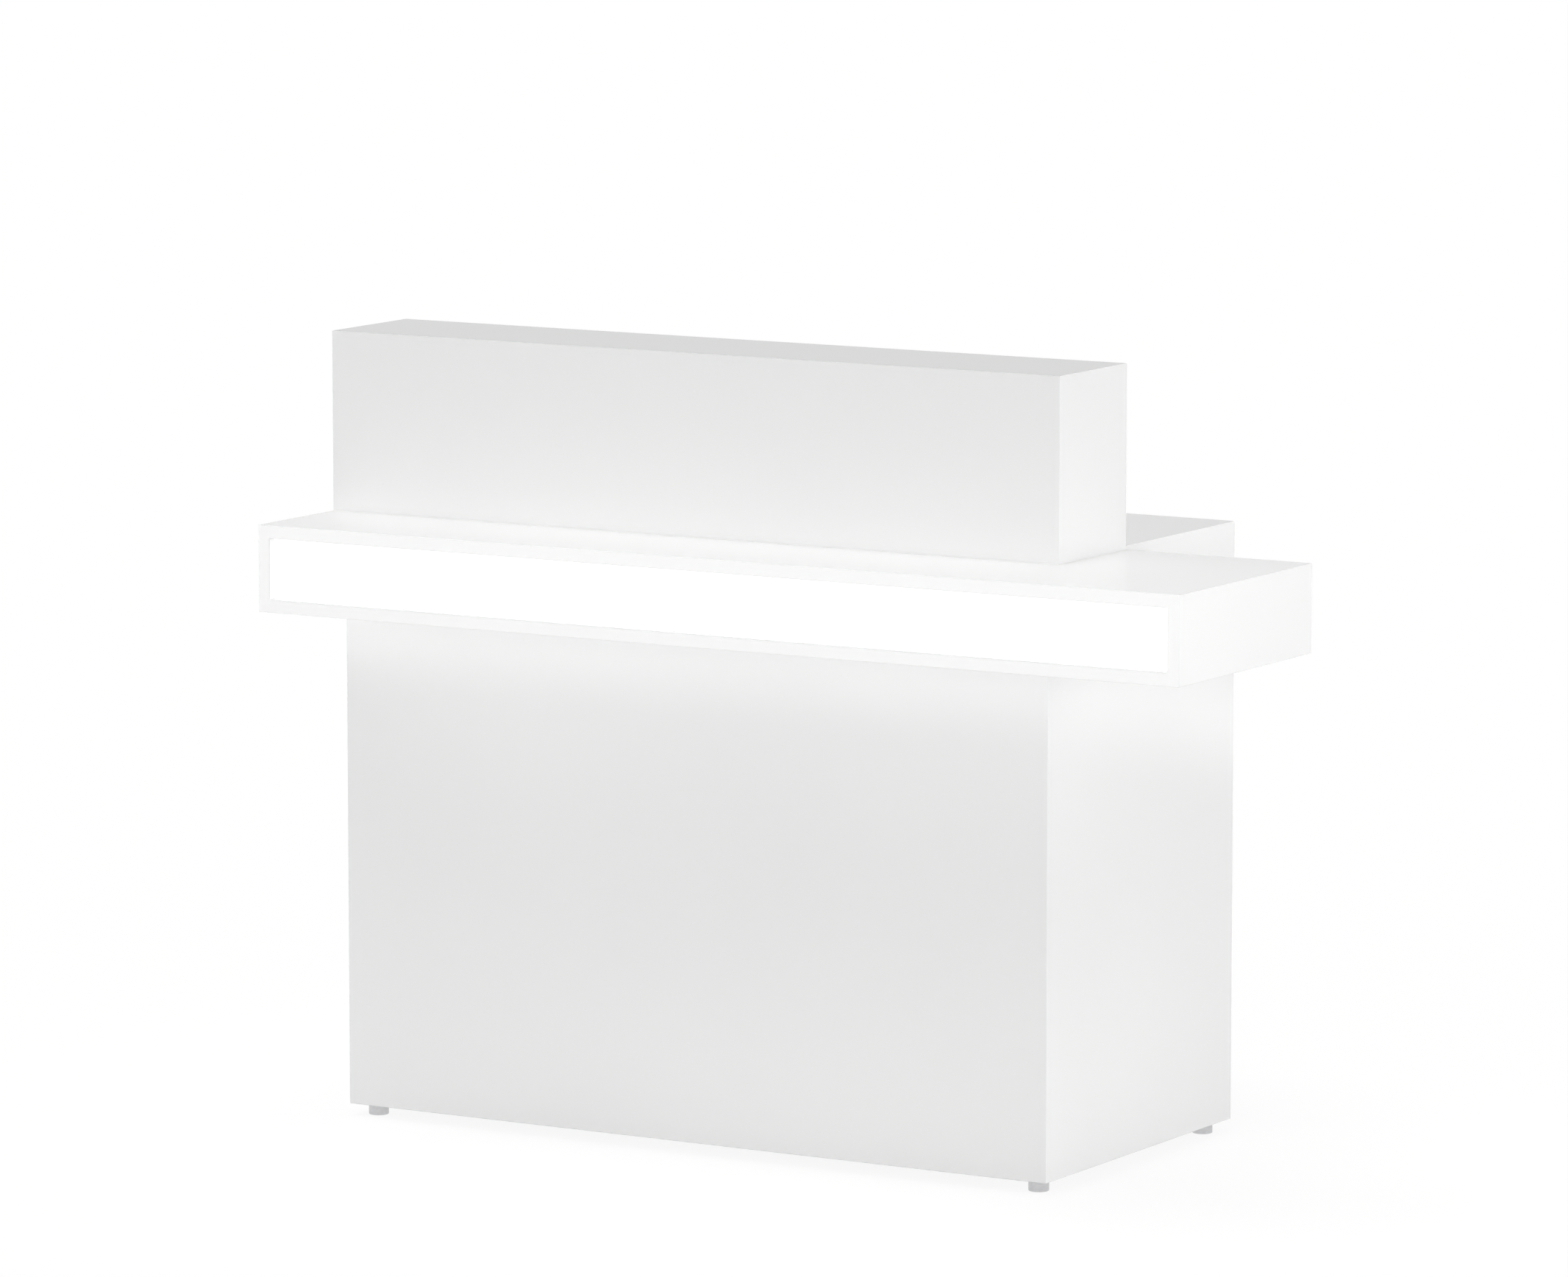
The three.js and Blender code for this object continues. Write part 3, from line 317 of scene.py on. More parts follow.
def lit_opal():
    """Opal acrylic with the lamps behind it: bright all over, a touch less towards its two ends."""
    material, tree, shader, place = new_finish("lit_opal", IOR=1.49)
    across = node(tree, "SeparateXYZ", None, Vector=place).outputs["X"]
    from_middle = node(tree, "Math", {"operation": "ABSOLUTE"}, Value=across).outputs["Value"]
    ends = node(
        tree, "MapRange", {"interpolation_type": "SMOOTHSTEP"}, Value=from_middle,
        From_Min=0.660, From_Max=0.694, To_Min=1.0, To_Max=0.94,
    ).outputs["Result"]
    cloud = grain(tree, place, 5.0)
    colour = blended(tree, spread_over(tree, cloud, 0.0, 1.0), (0.880, 0.880, 0.880), (0.900, 0.900, 0.898))
    glow = node(tree, "Math", {"operation": "MULTIPLY"}, Value=ends).outputs["Value"]
    glow.node.inputs[1].default_value = 0.55
    polish = spread_over(tree, grain(tree, place, 40.0), 0.12, 0.18)
    shader.inputs["Emission Color"].default_value = (1.0, 1.0, 1.0, 1.0)
    fit(tree, shader, Base_Color=colour, Roughness=polish, Emission_Strength=glow)
    return material


def turned_metal(name, dark, light, rough, cut, distance, anisotropic=0.4):
    """Lathe-turned metal: rings that follow the cut along the profile, over a faint grain."""
    material, tree, shader, place = new_finish(name, Metallic=1.0, Anisotropic=anisotropic)
    run = node(tree, "Attribute", {"attribute_name": "turning"}).outputs["Fac"]
    rings = node(tree, "TexNoise", {"noise_dimensions": "1D"}, W=run, Scale=cut, Detail=2.0).outputs["Fac"]
    cloud = grain(tree, place, 180.0)
    colour = blended(tree, spread_over(tree, cloud, 0.0, 1.0), dark, light)
    fit(
        tree, shader, Base_Color=colour, Roughness=spread_over(tree, rings, *rough),
        Normal=relief(tree, rings, distance),
    )
    return material


def zinc_plating():
    """Bright zinc on pressed steel: small crystals, each a little paler or duller than the next."""
    material, tree, shader, place = new_finish("zinc_plating", Metallic=1.0)
    crystals = node(tree, "TexVoronoi", None, Vector=place, Scale=900.0)
    value = node(tree, "SeparateColor", None, Color=crystals.outputs["Color"]).outputs["Red"]
    colour = blended(tree, value, (0.590, 0.605, 0.625), (0.640, 0.655, 0.670))
    rough = node(tree, "MapRange", None, Value=value, To_Min=0.30, To_Max=0.38).outputs["Result"]
    bumps = relief(tree, grain(tree, place, 900.0), 1.5e-5)
    fit(tree, shader, Base_Color=colour, Roughness=rough, Normal=bumps)
    return material


def drawn_aluminium():
    """Extruded aluminium: fine lines along its length."""
    material, tree, shader, place = new_finish("drawn_aluminium", Metallic=1.0, Anisotropic=0.5)
    lines = grain(tree, place, 1500.0, 2.0, (0.01, 1.0, 1.0))
    colour = blended(tree, spread_over(tree, lines, 0.0, 1.0), (0.570, 0.580, 0.590), (0.630, 0.640, 0.650))
    fit(
        tree, shader, Base_Color=colour, Roughness=spread_over(tree, lines, 0.28, 0.42),
        Normal=relief(tree, lines, 2e-5),
    )
    return material


def lamp_board():
    """White circuit board with pale yellow lenses, which are what stands in front of its face."""
    material, tree, shader, place = new_finish("lamp_board", IOR=1.5)
    depth = node(tree, "SeparateXYZ", None, Vector=place).outputs["Y"]
    lens = node(tree, "MapRange", None, Value=depth, From_Min=-0.1714, From_Max=-0.1718).outputs["Result"]
    weave = grain(tree, place, 1400.0)
    colour = blended(tree, lens, (0.880, 0.880, 0.840), (0.900, 0.840, 0.560))
    rough = node(tree, "MapRange", None, Value=lens, To_Min=0.5, To_Max=0.12).outputs["Result"]
    fit(tree, shader, Base_Color=colour, Roughness=rough, Normal=relief(tree, weave, 2e-5))
    return material


def moulded(name, dark, light, rough, scale=2200.0, distance=4e-5):
    """Moulded plastic or rubber with the fine pitted skin of its mould."""
    material, tree, shader, place = new_finish(name, IOR=1.48)
    pits = grain(tree, place, scale, 3.0)
    cloud = grain(tree, place, 60.0)
    colour = blended(tree, spread_over(tree, cloud, 0.0, 1.0), dark, light)
    fit(
        tree, shader, Base_Color=colour, Roughness=spread_over(tree, pits, *rough),
        Normal=relief(tree, pits, distance),
    )
    return material


FINISHES = {
    "white_lacquer": gloss_lacquer(),
    "white_melamine": satin_melamine(),
    "opal_acrylic": lit_opal(),
    "satin_steel": turned_metal(
        "turned_steel", (0.56, 0.56, 0.57), (0.61, 0.61, 0.62), (0.24, 0.36), 3.0, 4e-6,
    ),
    "zinc_steel": zinc_plating(),
    "aluminium": drawn_aluminium(),
    "nickel": turned_metal(
        "polished_nickel", (0.59, 0.58, 0.55), (0.62, 0.61, 0.58), (0.10, 0.17), 2.0, 1e-6, 0.2,
    ),
    "led_board": lamp_board(),
    "white_plastic": moulded("white_moulding", (0.765, 0.775, 0.765), (0.790, 0.800, 0.790), (0.36, 0.46)),
    "grey_plastic": moulded("grey_moulding", (0.440, 0.450, 0.450), (0.460, 0.470, 0.470), (0.38, 0.48)),
    "black_plastic": moulded("black_moulding", (0.011, 0.011, 0.012), (0.014, 0.014, 0.015), (0.36, 0.48)),
    "grey_rubber": moulded("grey_rubber", (0.064, 0.064, 0.066), (0.076, 0.076, 0.078), (0.62, 0.76), 1600.0),
}


def dress_boards():
    """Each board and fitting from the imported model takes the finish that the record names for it."""
    for row in frame["record"]["subparts"]:
        materials = frame["nodes"][row["node"]].data.materials
        materials.clear()
        materials.append(FINISHES[row["material_slot"]])


# Fittings

def threaded_stem(radius, low, high, pitch=1.25, depth=0.45, segments=36):
    """A screw thread about the z axis: at angle a and height z the radius is the stem's, less depth times how
    far z / pitch - a / full turn lies from its nearest whole number. Its tip is bevelled."""
    rows = int((high - low) / pitch * 8)
    height = np.linspace(low, high, rows)[:, None]
    angle = np.linspace(0, 2 * pi, segments, endpoint=False)[None]
    turns = height / pitch - angle / (2 * pi)
    tip = np.clip(height - (high - 1.2), 0, None) * 0.7
    r = radius - 2 * depth * np.abs(turns - np.round(turns)) - tip
    return np.stack([r * np.cos(angle), r * np.sin(angle), height + 0 * angle], axis=-1)


def add_feet():
    """Turned steel feet on threaded stems, each in a flanged insert in the bottom panel."""
    pad = rounded(
        [
            (0, 0.35), (10.4, 0.35), (11.0, 0), (14, 0), (14, 16.7), (4.2, 16.7), (4.2, 16.0), (0, 16.0),
        ],
        1.3, 6,
    )
    insert = rounded(
        [
            (5.1, 17.3), (5.9, 17.3), (5.9, 35.3), (8.5, 35.3), (8.5, 36.8), (5.2, 36.8), (4.4, 36.1),
            (4.4, 17.9), (5.1, 17.3),
        ],
        0.4,
    )
    for corner, (x, y) in FOOT_AXES.items():
        at = (x, y, 0)
        shells = [
            shell(placed(turned(pad, 64), at)),
            shell(placed(threaded_stem(4.0, 16.1, 43.7), at), capped=True),
        ]
        add_piece(f"turned_foot_{corner}", shells, FOOT_BODIES[corner], "satin_steel", [f"foot_{corner}"])
        ring = shell(placed(turned(insert[:-1], 40), at), ring=True)
        add_piece(f"flanged_insert_{corner}", [ring], "desk", "zinc_steel", [f"foot_insert_{corner}"])


def add_shelf_pins():
    """Round pins with a domed end and a groove at the board's face, lying along x where they are drilled."""
    for bay in ("left", "right"):
        for number in range(1, 5):
            name = f"shelf_pin_{bay}_{number}"
            low, high = (np.array(corner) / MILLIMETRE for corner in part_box(name))
            radius, middle = (high[2] - low[2]) / 2, (low + high) / 2
            half = (high[0] - low[0]) / 2
            profile = rounded(
                [
                    (0, -half), (radius, -half), (radius, -0.7), (radius - 0.35, -0.5), (radius - 0.35, 0.5),
                    (radius, 0.7), (radius, half), (0, half),
                ],
                0.5,
            )
            pin = shell(placed(turned(profile, 24), middle, "x"))
            add_piece(f"round_{name}", [pin], "desk", "zinc_steel", [name])


def slot_radius(angle, half_width, half_height):
    """How far a slot's rim lies from its middle at each angle: the nearer of its long side and its end."""
    with np.errstate(divide="ignore"):
        return np.minimum(half_width / np.abs(np.cos(angle)), half_height / np.abs(np.sin(angle)))


def add_lock():
    """Drawer lock: a turned rosette on the drawer front, and a core with a keyway, which turns a tongue."""
    rosette = rounded(
        [
            (6.5, -23), (8, -23), (8, 0.3), (11, 0.3), (11, 2.0), (8.6, 2.0), (7.6, 1.5), (5.9, 1.5),
            (5.9, -22.4), (6.5, -23),
        ],
        0.6,
    )
    ring = shell(placed(turned(rosette[:-1], 64), LOCK_AXIS, "y"), ring=True)
    add_piece("lock_rosette", [ring], "drawer", "nickel", ["lock_body"])

    half_width, half_height = 0.8, 4.0
    corner = np.arctan2(half_height, half_width)
    long_side = np.linspace(-corner, corner, 24, endpoint=False)
    end = np.linspace(corner, pi - corner, 8, endpoint=False)
    half_turn = np.concatenate([long_side, end])
    angle = np.concatenate([half_turn, half_turn + pi])
    circle = np.stack([np.cos(angle), np.sin(angle)], axis=-1)
    rim = slot_radius(angle, half_width, half_height)[:, None] * circle
    rows = [
        (5.5 * circle, -26.6), (5.5 * circle, 1.6), (5.1 * circle, 2.0), (rim * 1.06, 2.0), (rim, 1.7),
        (rim, -1.0),
    ]
    core = np.stack([np.column_stack([flat, np.full(len(angle), height)]) for flat, height in rows])
    bend = np.linspace(0, pi, 17)
    half, length = 6, 28
    blade = np.concatenate([
        np.column_stack([half * np.cos(bend), half * np.sin(bend)]),
        np.column_stack([-half * np.cos(bend), -length - half * np.sin(bend)]),
    ])
    section = rounded([(0.9, -25.8), (0, -25.8), (0, -23.3), (0.9, -23.3)], 0.4)
    shells = [
        shell(placed(core, LOCK_AXIS, "y"), capped=True),
        shell(placed(carried(blade, section), LOCK_AXIS, "y"), capped=True),
    ]
    add_piece("lock_core_and_tongue", shells, "lock", "nickel", ["lock_plug"])


def add_cable_outlet():
    """Moulded outlet in the worktop: a flanged sleeve with a ledge, and a lid with a round-ended notch."""
    sleeve = rounded(
        [
            (27, -20.5), (30, -20.5), (30, 0.3), (36, 0.3), (36, 1.0), (33.4, 2.5), (27.5, 2.5), (27, 2.0),
            (27, -0.3), (24, -0.3), (24, -19.8), (27, -20.5),
        ],
        0.7,
    )
    ring = shell(placed(turned(sleeve[:-1], 96), OUTLET_AXIS), ring=True)
    add_piece("outlet_sleeve", [ring], "desk", "grey_plastic", ["grommet_sleeve"])

    radius, half = 26.6, 7.0
    start = -pi / 2 + np.arcsin(half / radius)
    rim_angle = np.linspace(start, start + 2 * (pi - np.arcsin(half / radius)), 81)
    rim = np.column_stack([radius * np.cos(rim_angle), radius * np.sin(rim_angle)])
    bend = np.linspace(pi, 0, 15)
    notch_depth = 14
    notch = np.column_stack([half * np.cos(bend), notch_depth - radius + half * np.sin(bend)])
    outline = np.vstack([rim, notch])
    section = rounded([(0.5, 0.0), (0, 0.0), (0, 2.5), (1.1, 2.5)], 0.8, 5)
    lid = shell(placed(carried(outline, section), OUTLET_AXIS), capped=True)
    add_piece("outlet_lid", [lid], "cable_outlet_cap", "grey_plastic", ["grommet_cap"])


def add_lead():
    """Low-voltage lead from the driver's left gland through the bush to the lamp bars, with its fork."""
    gland_x, bars_y, turn_radius = 92.2, -173.8, 10
    turn_x, turn_y = 49.5, 18.8
    bend = np.linspace(0, pi / 2, 9)[1:]
    near_x = np.linspace(gland_x, turn_x, 9)
    far_y = np.linspace(turn_y, bars_y, 24)[1:]
    near = np.column_stack([near_x, np.full(9, DRIVER_MIDDLE)])
    corner = np.column_stack([turn_x - turn_radius * np.sin(bend), turn_y + turn_radius * np.cos(bend)])
    far = np.column_stack([np.full(23, BUSH_AXIS[0]), far_y])
    flat = np.vstack([near, corner, far])
    path = np.column_stack([flat, np.full(len(flat), LEAD_HEIGHT)])
    half = 14.7
    fork = rounded([(0, -half), (LEAD_RADIUS, -half), (LEAD_RADIUS, half), (0, half)], 0.4)
    cable = shell(tube(path, LEAD_RADIUS), capped=True)
    lead = add_piece("lamp_lead", [cable], "desk", "black_plastic", ["led_harness"])
    split = add_piece("lamp_lead_fork", [shell(placed(turned(fork, 20), path[-1]))], "desk", "black_plastic")
    bush = rounded(
        [
            (2.8, -10.6), (4.2, -11.3), (9, -11.3), (9, -9.3), (5.3, -9.3), (5.3, 9.3), (9, 9.3), (9, 11.3),
            (4.2, 11.3), (2.8, 10.6), (2.8, -10.6),
        ],
        0.7,
    )
    ring = shell(placed(turned(bush[:-1], 40), BUSH_AXIS, "y"), ring=True)
    add_piece("lead_bush", [ring], "desk", "grey_rubber", ["cable_bush"])


def screw_head(radius, height, segments=40):
    """A cross-recessed head: its height falls from the crown by the square of the radius, and inside the
    cross it drops by a depth that fades from the middle to the arms' ends."""
    r = np.concatenate([np.linspace(0, 0.62, 9), [0.72, 0.82, 0.91, 0.97, 1.0]])[:, None] * radius
    angle = np.linspace(0, 2 * pi, segments, endpoint=False)[None]
    crown = height * (1 - 0.45 * (r / radius) ** 2 - 0.25 * np.clip(r / radius - 0.9, 0, None) * 10)
    aside = r * np.minimum(np.abs(np.sin(angle)), np.abs(np.cos(angle)))
    arm = np.clip(1.6 - 1.6 * aside / (0.16 * radius), 0, 1) * np.clip((0.62 - r / radius) / 0.12, 0, 1)
    z = crown - 0.75 * height * arm
    top = np.stack([r * np.cos(angle), r * np.sin(angle), z], axis=-1)
    foot = np.stack([radius * np.cos(angle), radius * np.sin(angle), 0 * angle], axis=-1)
    return np.concatenate([top, foot])


def add_screws():
    """Screws of the drawer runners, and of the driver's end caps."""
    pan = screw_head(3.6, 1.9)
    flush = screw_head(3.4, 0.33)
    small = screw_head(2.2, 1.1)
    on_drawer, on_cabinet = [], []
    for y in RUNNER_SCREWS:
        for side in (-1, 1):
            web = BAY_MIDDLE + side * RUNNER_WEB
            outer = BAY_MIDDLE + side * RUNNER_OUTER
            inwards = placed(flush, (0, y, RUNNER_HEIGHT), "x") * np.array([-side, 1, 1])
            outwards = placed(pan, (0, y, RUNNER_HEIGHT), "x") * np.array([side, 1, 1])
            on_drawer.append(shell(outwards + np.array([web, 0, 0])))
            on_cabinet.append(shell(inwards + np.array([outer, 0, 0])))
    add_piece("drawer_runner_screws", on_drawer, "drawer", "zinc_steel")
    add_piece("cabinet_runner_screws", on_cabinet, "desk", "zinc_steel")
    caps = []
    for x, side in zip(DRIVER_ENDS, (-1, 1)):
        for z in (-CAP_SCREW_RISE, CAP_SCREW_RISE):
            head = placed(small, (0, DRIVER_MIDDLE, LEAD_HEIGHT + z), "x") * np.array([side, 1, 1])
            caps.append(shell(head + np.array([x, 0, 0])))
    add_piece("driver_cap_screws", caps, "desk", "zinc_steel")


def add_gland_nuts():
    """Fluted nuts on the driver's two glands: the radius of the outside follows a cosine of twelve waves."""
    section = rounded(
        [(6.15, -0.2), (7.7, -0.2), (8.2, 0.8), (8.2, 5.2), (7.4, 6.4), (6.15, 6.4), (6.15, -0.2)], 0.7,
    )
    nut = turned(section[:-1], 96)
    angle = np.arctan2(nut[..., 1], nut[..., 0])
    reach = np.linalg.norm(nut[..., :2], axis=-1)
    flute = 1 + 0.035 * np.cos(12 * angle) * np.clip((reach - 6.3) / 1.2, 0, 1)
    nut[..., :2] *= flute[..., None]
    nuts = []
    for x, side in zip(DRIVER_ENDS, (-1, 1)):
        turned_out = placed(nut, (0, DRIVER_MIDDLE, LEAD_HEIGHT), "x") * np.array([side, 1, 1])
        nuts.append(shell(turned_out + np.array([x + side * 0.4, 0, 0]), ring=True))
    add_piece("driver_gland_nuts", nuts, "desk", "white_plastic")


def span(*names):
    """The lowest and highest corners over several boards, in millimetres."""
    corners = np.array([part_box(name) for name in names]) / MILLIMETRE
    return corners[:, 0].min(axis=0), corners[:, 1].max(axis=0)


def edge_run(low, high, first, second, radius=0.8, root=0.4):
    """A rounded edge along one corner P of a box: its section is P - r (n + m) + r (n cos a + m sin a) for
    a quarter turn of a, where n and m look out of its two faces, and a root inside the boards closes it."""
    (axis, way), (other_axis, other_way) = FACES[first], FACES[second]
    n, m, along = way * AXES[axis], other_way * AXES[other_axis], AXES[3 - axis - other_axis]
    ends = np.array([low + radius * along, high - radius * along])
    ends[:, axis] = (low, high)[way > 0][axis]
    ends[:, other_axis] = (low, high)[other_way > 0][other_axis]
    angle = np.linspace(0, pi / 2, 7)[:, None]
    arc = radius * (np.cos(angle) * n + np.sin(angle) * m - n - m)
    section = np.vstack([arc, arc[-1] - root * m, arc[0] - root * n])
    return ends[:, None] + section[None]


def light_box_sizes():
    """The lowest and highest corners of the light box, and those of the opening in its front."""
    low, high = span("light_box_top", "light_box_bottom", "light_box_left_end", "light_box_right_end")
    opening_low = span("light_box_left_end")[1][0], low[1], span("light_box_bottom")[1][2]
    opening_high = span("light_box_right_end")[0][0], high[1], span("light_box_top")[0][2]
    return (low, high), (opening_low, opening_high)


def add_lacquered_edges():
    """Lacquer over the show edges of the boards, which closes their mitred joints and rounds them."""
    base = span("base_front_panel", "base_left_gable", "base_right_gable", "worktop")
    upper = span("upper_front_panel", "upper_top_panel", "upper_left_end", "upper_right_end")
    box, ((left, front, bottom), (right, back, top)) = light_box_sizes()
    over = np.array([(left, front, top), (right, back, box[1][2])])
    under = np.array([(left, front, box[0][2]), (right, back, bottom)])
    left_of = np.array([(box[0][0], front, bottom), (left, back, top)])
    right_of = np.array([(right, front, bottom), (box[1][0], back, top)])
    under_box = base[0], np.array([*base[1][:2], box[0][2]])
    behind_box = np.array([base[0][0], box[1][1], base[0][2]]), base[1]
    runs = {
        "base_lacquered_edges": [
            (under_box, "front", "left"), (under_box, "front", "right"),
            (behind_box, "top", "left"), (behind_box, "top", "right"),
        ],
        "frame_lacquered_edges": [
            (box, "top", "left"), (box, "top", "right"), (box, "bottom", "left"), (box, "bottom", "right"),
            (box, "front", "top"), (box, "front", "bottom"), (box, "front", "left"), (box, "front", "right"),
        ],
        "opening_lacquered_edges": [
            (over, "front", "bottom"), (under, "front", "top"),
            (left_of, "front", "right"), (right_of, "front", "left"),
        ],
        "upper_lacquered_edges": [
            (upper, "front", "left"), (upper, "front", "right"),
            (upper, "top", "front"), (upper, "top", "left"), (upper, "top", "right"),
        ],
    }
    for name, edges in runs.items():
        shells = [shell(edge_run(*space, first, second), capped=True) for space, first, second in edges]
        add_piece(name, shells, "desk", "white_lacquer")


def add_foot_fillet(radius=1.0, root=0.5, sink=0.1, end_gap=0.8):
    """Filler where the upper box stands on the light box, along its front and its right: a hollow quarter
    round, r (1 - cos a) out from the wall and r (1 - sin a) up from the board, carried round the corner."""
    low, high = span("upper_front_panel", "upper_left_end", "upper_right_end")
    height = span("light_box_top")[1][2]
    angle = np.linspace(0, pi / 2, 7)
    out = np.concatenate([radius * (1 - np.cos(angle)), [radius, -root, -root]])
    up = np.concatenate([radius * (1 - np.sin(angle)), [-sink, -sink, radius]])
    plan = np.array([(low[0] + end_gap, low[1]), (high[0], low[1]), (high[0], high[1] - end_gap)])
    ways = np.array([(0, -1), (1, -1), (1, 0)])
    flat = plan[:, None] + out[None, :, None] * ways[:, None]
    level = np.broadcast_to((height + up)[None, :, None], flat.shape[:2] + (1,))
    fillet = shell(np.concatenate([flat, level], axis=-1), capped=True)
    add_piece("frame_joint_fillet", [fillet], "desk", "white_lacquer")


def add_mitre_filler(half_width=0.25, sink=0.02, depth=0.6, inner_gap=0.6, outer_gap=0.9):
    """Filler in the four mitred joints of the light box's frame: a strip along each diagonal, from near its
    inner to near its outer corner, with its face a hair behind the front."""
    box, opening = light_box_sizes()
    aside = half_width * np.array([1, -1, -1, 1])
    back = box[0][1] + np.array([sink, sink, depth, depth])
    strips = []
    for x_end in (0, 1):
        for z_end in (0, 1):
            inner = np.array([opening[x_end][0], opening[z_end][2]])
            outer = np.array([box[x_end][0], box[z_end][2]])
            along = (outer - inner) / np.linalg.norm(outer - inner)
            across = np.array([-along[1], along[0]])
            ends = np.array([inner + inner_gap * along, outer - outer_gap * along])
            flat = ends[:, None] + aside[None, :, None] * across
            strip = np.stack([flat[..., 0], np.broadcast_to(back, (2, 4)), flat[..., 1]], axis=-1)
            strips.append(shell(strip, capped=True))
    add_piece("light_box_mitre_filler", strips, "desk", "white_lacquer")


def add_joint_covers():
    """Small domed covers over the joint fittings, on the bottom panel and under the worktop."""
    dome = [(0, 0.75), (3, 0.72), (6, 0.6), (7.8, 0.36), (8.4, 0.12), (8.5, 0.0), (0, 0.0)]
    cover = turned(dome, 32)
    covers = []
    for x in COVER_COLUMNS:
        for y in COVER_ROWS_BELOW:
            covers.append(shell(placed(cover, (x, y, BOTTOM_PANEL_TOP))))
        for y in COVER_ROWS_ABOVE:
            covers.append(shell(placed(cover * np.array([1, 1, -1]), (x, y, WORKTOP_UNDERSIDE))))
    add_piece("joint_covers", covers, "desk", "white_plastic")


# Studio

SKY_LOW, SKY_RIGHT, SKY_FRONT = 4.19, 1.12, 0.16
OVERHEAD = 1.05
FLOOR_REACH = 60
FLOOR_PALE, FLOOR_SHADOW, FLOOR_WHITE = 0.725, 0.12, 0.901

# Soft lamps: the two ends of the lamp's middle line, the direction of its light, its width, its spread in
# degrees, its watts and the boards that it lights. They give the glow of the light box to itself and to the
# boards next to it. The frame's rounded edges have lamps of their own, to be no lighter than its boards.
LAMPS = {
    "box_front": ((-1.90, -2.50, 0.79), (1.30, -2.50, 0.79), (0, 1, 0), 0.80, 180, 4.2, "light_box"),
    "box_top": ((-2.20, -1.00, 2.40), (2.80, -1.00, 2.40), (0, 0.75, -1.55), 0.60, 180, 24.5, "light_box"),
    "box_right": ((2.20, -1.70, 0.90), (2.20, -0.70, 0.90), (-1.5, 1.0, 0), 0.60, 180, 2.7, "light_box"),
    "frame_front": ((-1.90, -2.50, 0.79), (1.30, -2.50, 0.79), (0, 1, 0), 0.80, 180, 11.0, "frame"),
    "frame_top": ((-2.20, -1.00, 2.40), (2.80, -1.00, 2.40), (0, 0.75, -1.55), 0.60, 180, 8.3, "frame"),
    "rear_top": ((-0.80, 0.35, 1.90), (0.60, 0.35, 1.90), (0, -0.1, -1), 0.30, 180, 2.6, "worktop"),
    "above_front": ((-0.84, -0.225, 0.856), (0.56, -0.225, 0.856), (0, 1, 0), 0.010, 76, 0.009, "upper"),
    "under_front": ((-0.84, -0.36, 0.715), (0.56, -0.36, 0.715), (0, 1, 0), 0.02, 64, 0.118, "base"),
    "under_right": ((0.58, -0.22, 0.712), (0.58, 0.50, 0.550), (-1, 0, 0), 0.02, 76, 0.039, "base"),
    "rear_right": ((0.62, 0.08, 0.84), (0.62, 0.42, 0.84), (-1, 0, 0), 0.02, 60, 0.0127, "base"),
    "low_front": ((-1.00, -1.20, 0.08), (0.75, -1.20, 0.08), (0, 1, 0), 0.10, 40, 0.12, "base"),
    "low_right": ((1.40, -0.50, 0.08), (1.40, 0.20, 0.08), (-1, 0, 0), 0.10, 40, 0.08, "base"),
}


def seen_rays(tree):
    """One for rays that the camera sees straight, in a mirror or through glass, and zero for the rest."""
    rays = node(tree, "LightPath").outputs
    total = node(tree, "Math", {"operation": "ADD"}, Value=rays["Is Camera Ray"])
    tree.links.new(rays["Is Glossy Ray"], total.inputs[1])
    every = node(tree, "Math", {"operation": "ADD", "use_clamp": True}, Value=total.outputs["Value"])
    tree.links.new(rays["Is Transmission Ray"], every.inputs[1])
    return every.outputs["Value"]


def add_sky():
    """White where it is seen. Its light is strongest near the horizon, by the cube of one less the height,
    and a little stronger from the right and from the front."""
    world = bpy.data.worlds.new("studio")
    SCENE.world = world
    world.use_nodes = True
    tree = world.node_tree
    tree.nodes.clear()
    axes = node(tree, "SeparateXYZ", None, Vector=node(tree, "TexCoord").outputs["Generated"]).outputs
    drop = node(tree, "Math", {"operation": "SUBTRACT", "use_clamp": True})
    drop.inputs[0].default_value = 1.0
    tree.links.new(axes["Z"], drop.inputs[1])
    low = node(tree, "Math", {"operation": "POWER"}, Value=drop.outputs["Value"])
    low.inputs[1].default_value = 3.0
    level = None
    for axis, strength in (("X", SKY_RIGHT), ("Y", -SKY_FRONT)):
        step = node(tree, "Math", {"operation": "MULTIPLY_ADD"}, Value=axes[axis])
        step.inputs[1].default_value = strength
        if level:
            tree.links.new(level, step.inputs[2])
        else:
            step.inputs[2].default_value = SKY_LOW
        level = step.outputs["Value"]
    light = node(tree, "Math", {"operation": "MULTIPLY"}, Value=level)
    tree.links.new(low.outputs["Value"], light.inputs[1])
    strength = tree.nodes.new("ShaderNodeMix")
    strength.data_type = "FLOAT"
    tree.links.new(seen_rays(tree), strength.inputs[0])
    tree.links.new(light.outputs["Value"], strength.inputs[2])
    strength.inputs[3].default_value = 1.0
    glow = node(tree, "Background", None, Strength=strength.outputs[0])
    node(tree, "OutputWorld", None, Surface=glow.outputs["Background"])


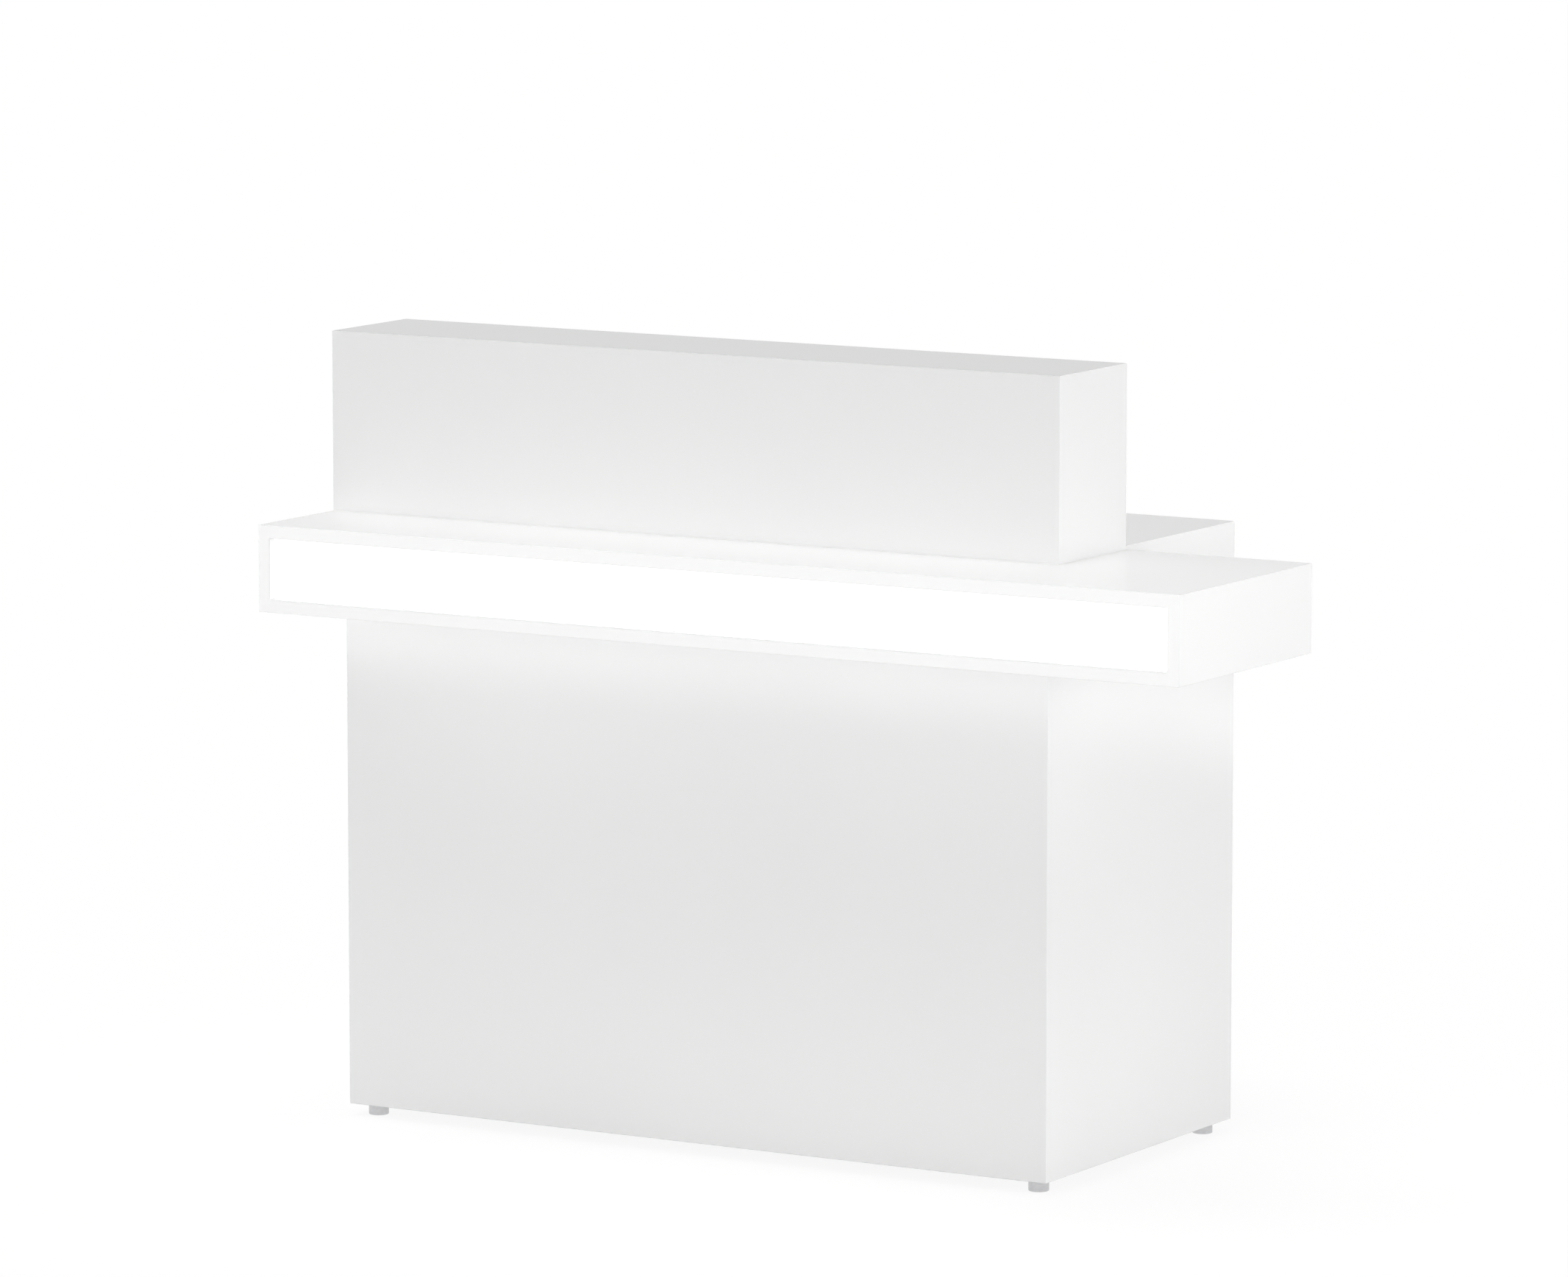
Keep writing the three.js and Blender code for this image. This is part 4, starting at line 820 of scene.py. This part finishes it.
def add_floor():
    """A wide pale floor: white where it is seen, with the desk's soft shadow, and pale for other light."""
    material = bpy.data.materials.new("pale_floor")
    material.use_nodes = True
    tree = material.node_tree
    tree.nodes.clear()
    plain = node(tree, "BsdfDiffuse", None, Color=(FLOOR_PALE, FLOOR_PALE, FLOOR_PALE, 1.0))
    shaded = node(tree, "BsdfDiffuse", None, Color=(FLOOR_SHADOW, FLOOR_SHADOW, FLOOR_SHADOW, 1.0))
    white = node(tree, "Emission", None, Color=(1.0, 1.0, 1.0, 1.0), Strength=FLOOR_WHITE)
    both = node(tree, "AddShader")
    tree.links.new(shaded.outputs["BSDF"], both.inputs[0])
    tree.links.new(white.outputs["Emission"], both.inputs[1])
    mixed = node(tree, "MixShader", None, Fac=seen_rays(tree))
    tree.links.new(plain.outputs["BSDF"], mixed.inputs[1])
    tree.links.new(both.outputs["Shader"], mixed.inputs[2])
    node(tree, "OutputMaterial", None, Surface=mixed.outputs["Shader"])
    mesh = bpy.data.meshes.new("floor")
    corners = [(-1, -1, 0), (1, -1, 0), (1, 1, 0), (-1, 1, 0)]
    mesh.from_pydata((FLOOR_REACH * np.array(corners)).tolist(), [], [(0, 1, 2, 3)])
    mesh.materials.append(material)
    floor = bpy.data.objects.new("floor", mesh)
    SCENE.collection.objects.link(floor)
    return floor


def add_overhead(floor):
    """A soft light from straight above for the desk, and a wider one for the floor, a little from the front
    and the left, which gives the desk its shadow."""
    for name, strength, aim, angle, state in (
        ("overhead", OVERHEAD, (0, 0, -1), 14, "EXCLUDE"),
        ("overhead_floor", 1.5 * OVERHEAD, (0.066, 0.194, -1), 37.6, "INCLUDE"),
    ):
        lamp = bpy.data.lights.new(name, "SUN")
        lamp.energy = strength
        lamp.angle = radians(angle)
        overhead = bpy.data.objects.new(name, lamp)
        overhead.rotation_euler = Vector(aim).to_track_quat("-Z", "Y").to_euler()
        overhead.visible_camera = False
        overhead.visible_glossy = False
        lit = bpy.data.collections.new(name + "_lights")
        lit.objects.link(floor)
        lit.collection_objects[0].light_linking.link_state = state
        overhead.light_linking.receiver_collection = lit
        SCENE.collection.objects.link(overhead)


def add_lamps():
    """Soft lamps that neither the camera nor the gloss shows, each for one group of boards."""
    groups = {}
    for group in sorted({row[-1] for row in LAMPS.values()}):
        groups[group] = bpy.data.collections.new(group + "_boards")
        for piece in SCENE.objects:
            if piece.type == "MESH" and piece.name.startswith(group):
                groups[group].objects.link(piece)
    for name, (start, end, direction, width, spread, watts, group) in LAMPS.items():
        start, end = Vector(start), Vector(end)
        lamp = bpy.data.lights.new(name, "AREA")
        lamp.shape = "RECTANGLE"
        lamp.size, lamp.size_y = (end - start).length, width
        lamp.spread = radians(spread)
        lamp.energy = watts
        back = -Vector(direction).normalized()
        side = back.cross(end - start).normalized()
        turn = Matrix((side.cross(back), side, back)).transposed().to_4x4()
        strip = bpy.data.objects.new(name, lamp)
        strip.matrix_world = Matrix.Translation((start + end) / 2) @ turn
        strip.visible_camera = False
        strip.visible_glossy = False
        strip.light_linking.receiver_collection = groups[group]
        SCENE.collection.objects.link(strip)


SCENE.view_settings.view_transform = "Standard"
add_camera()
dress_boards()
add_lead()
add_feet()
add_shelf_pins()
add_lock()
add_cable_outlet()
add_screws()
add_gland_nuts()
add_joint_covers()
add_lacquered_edges()
add_foot_fillet()
add_mitre_filler()
add_sky()
add_overhead(add_floor())
add_lamps()
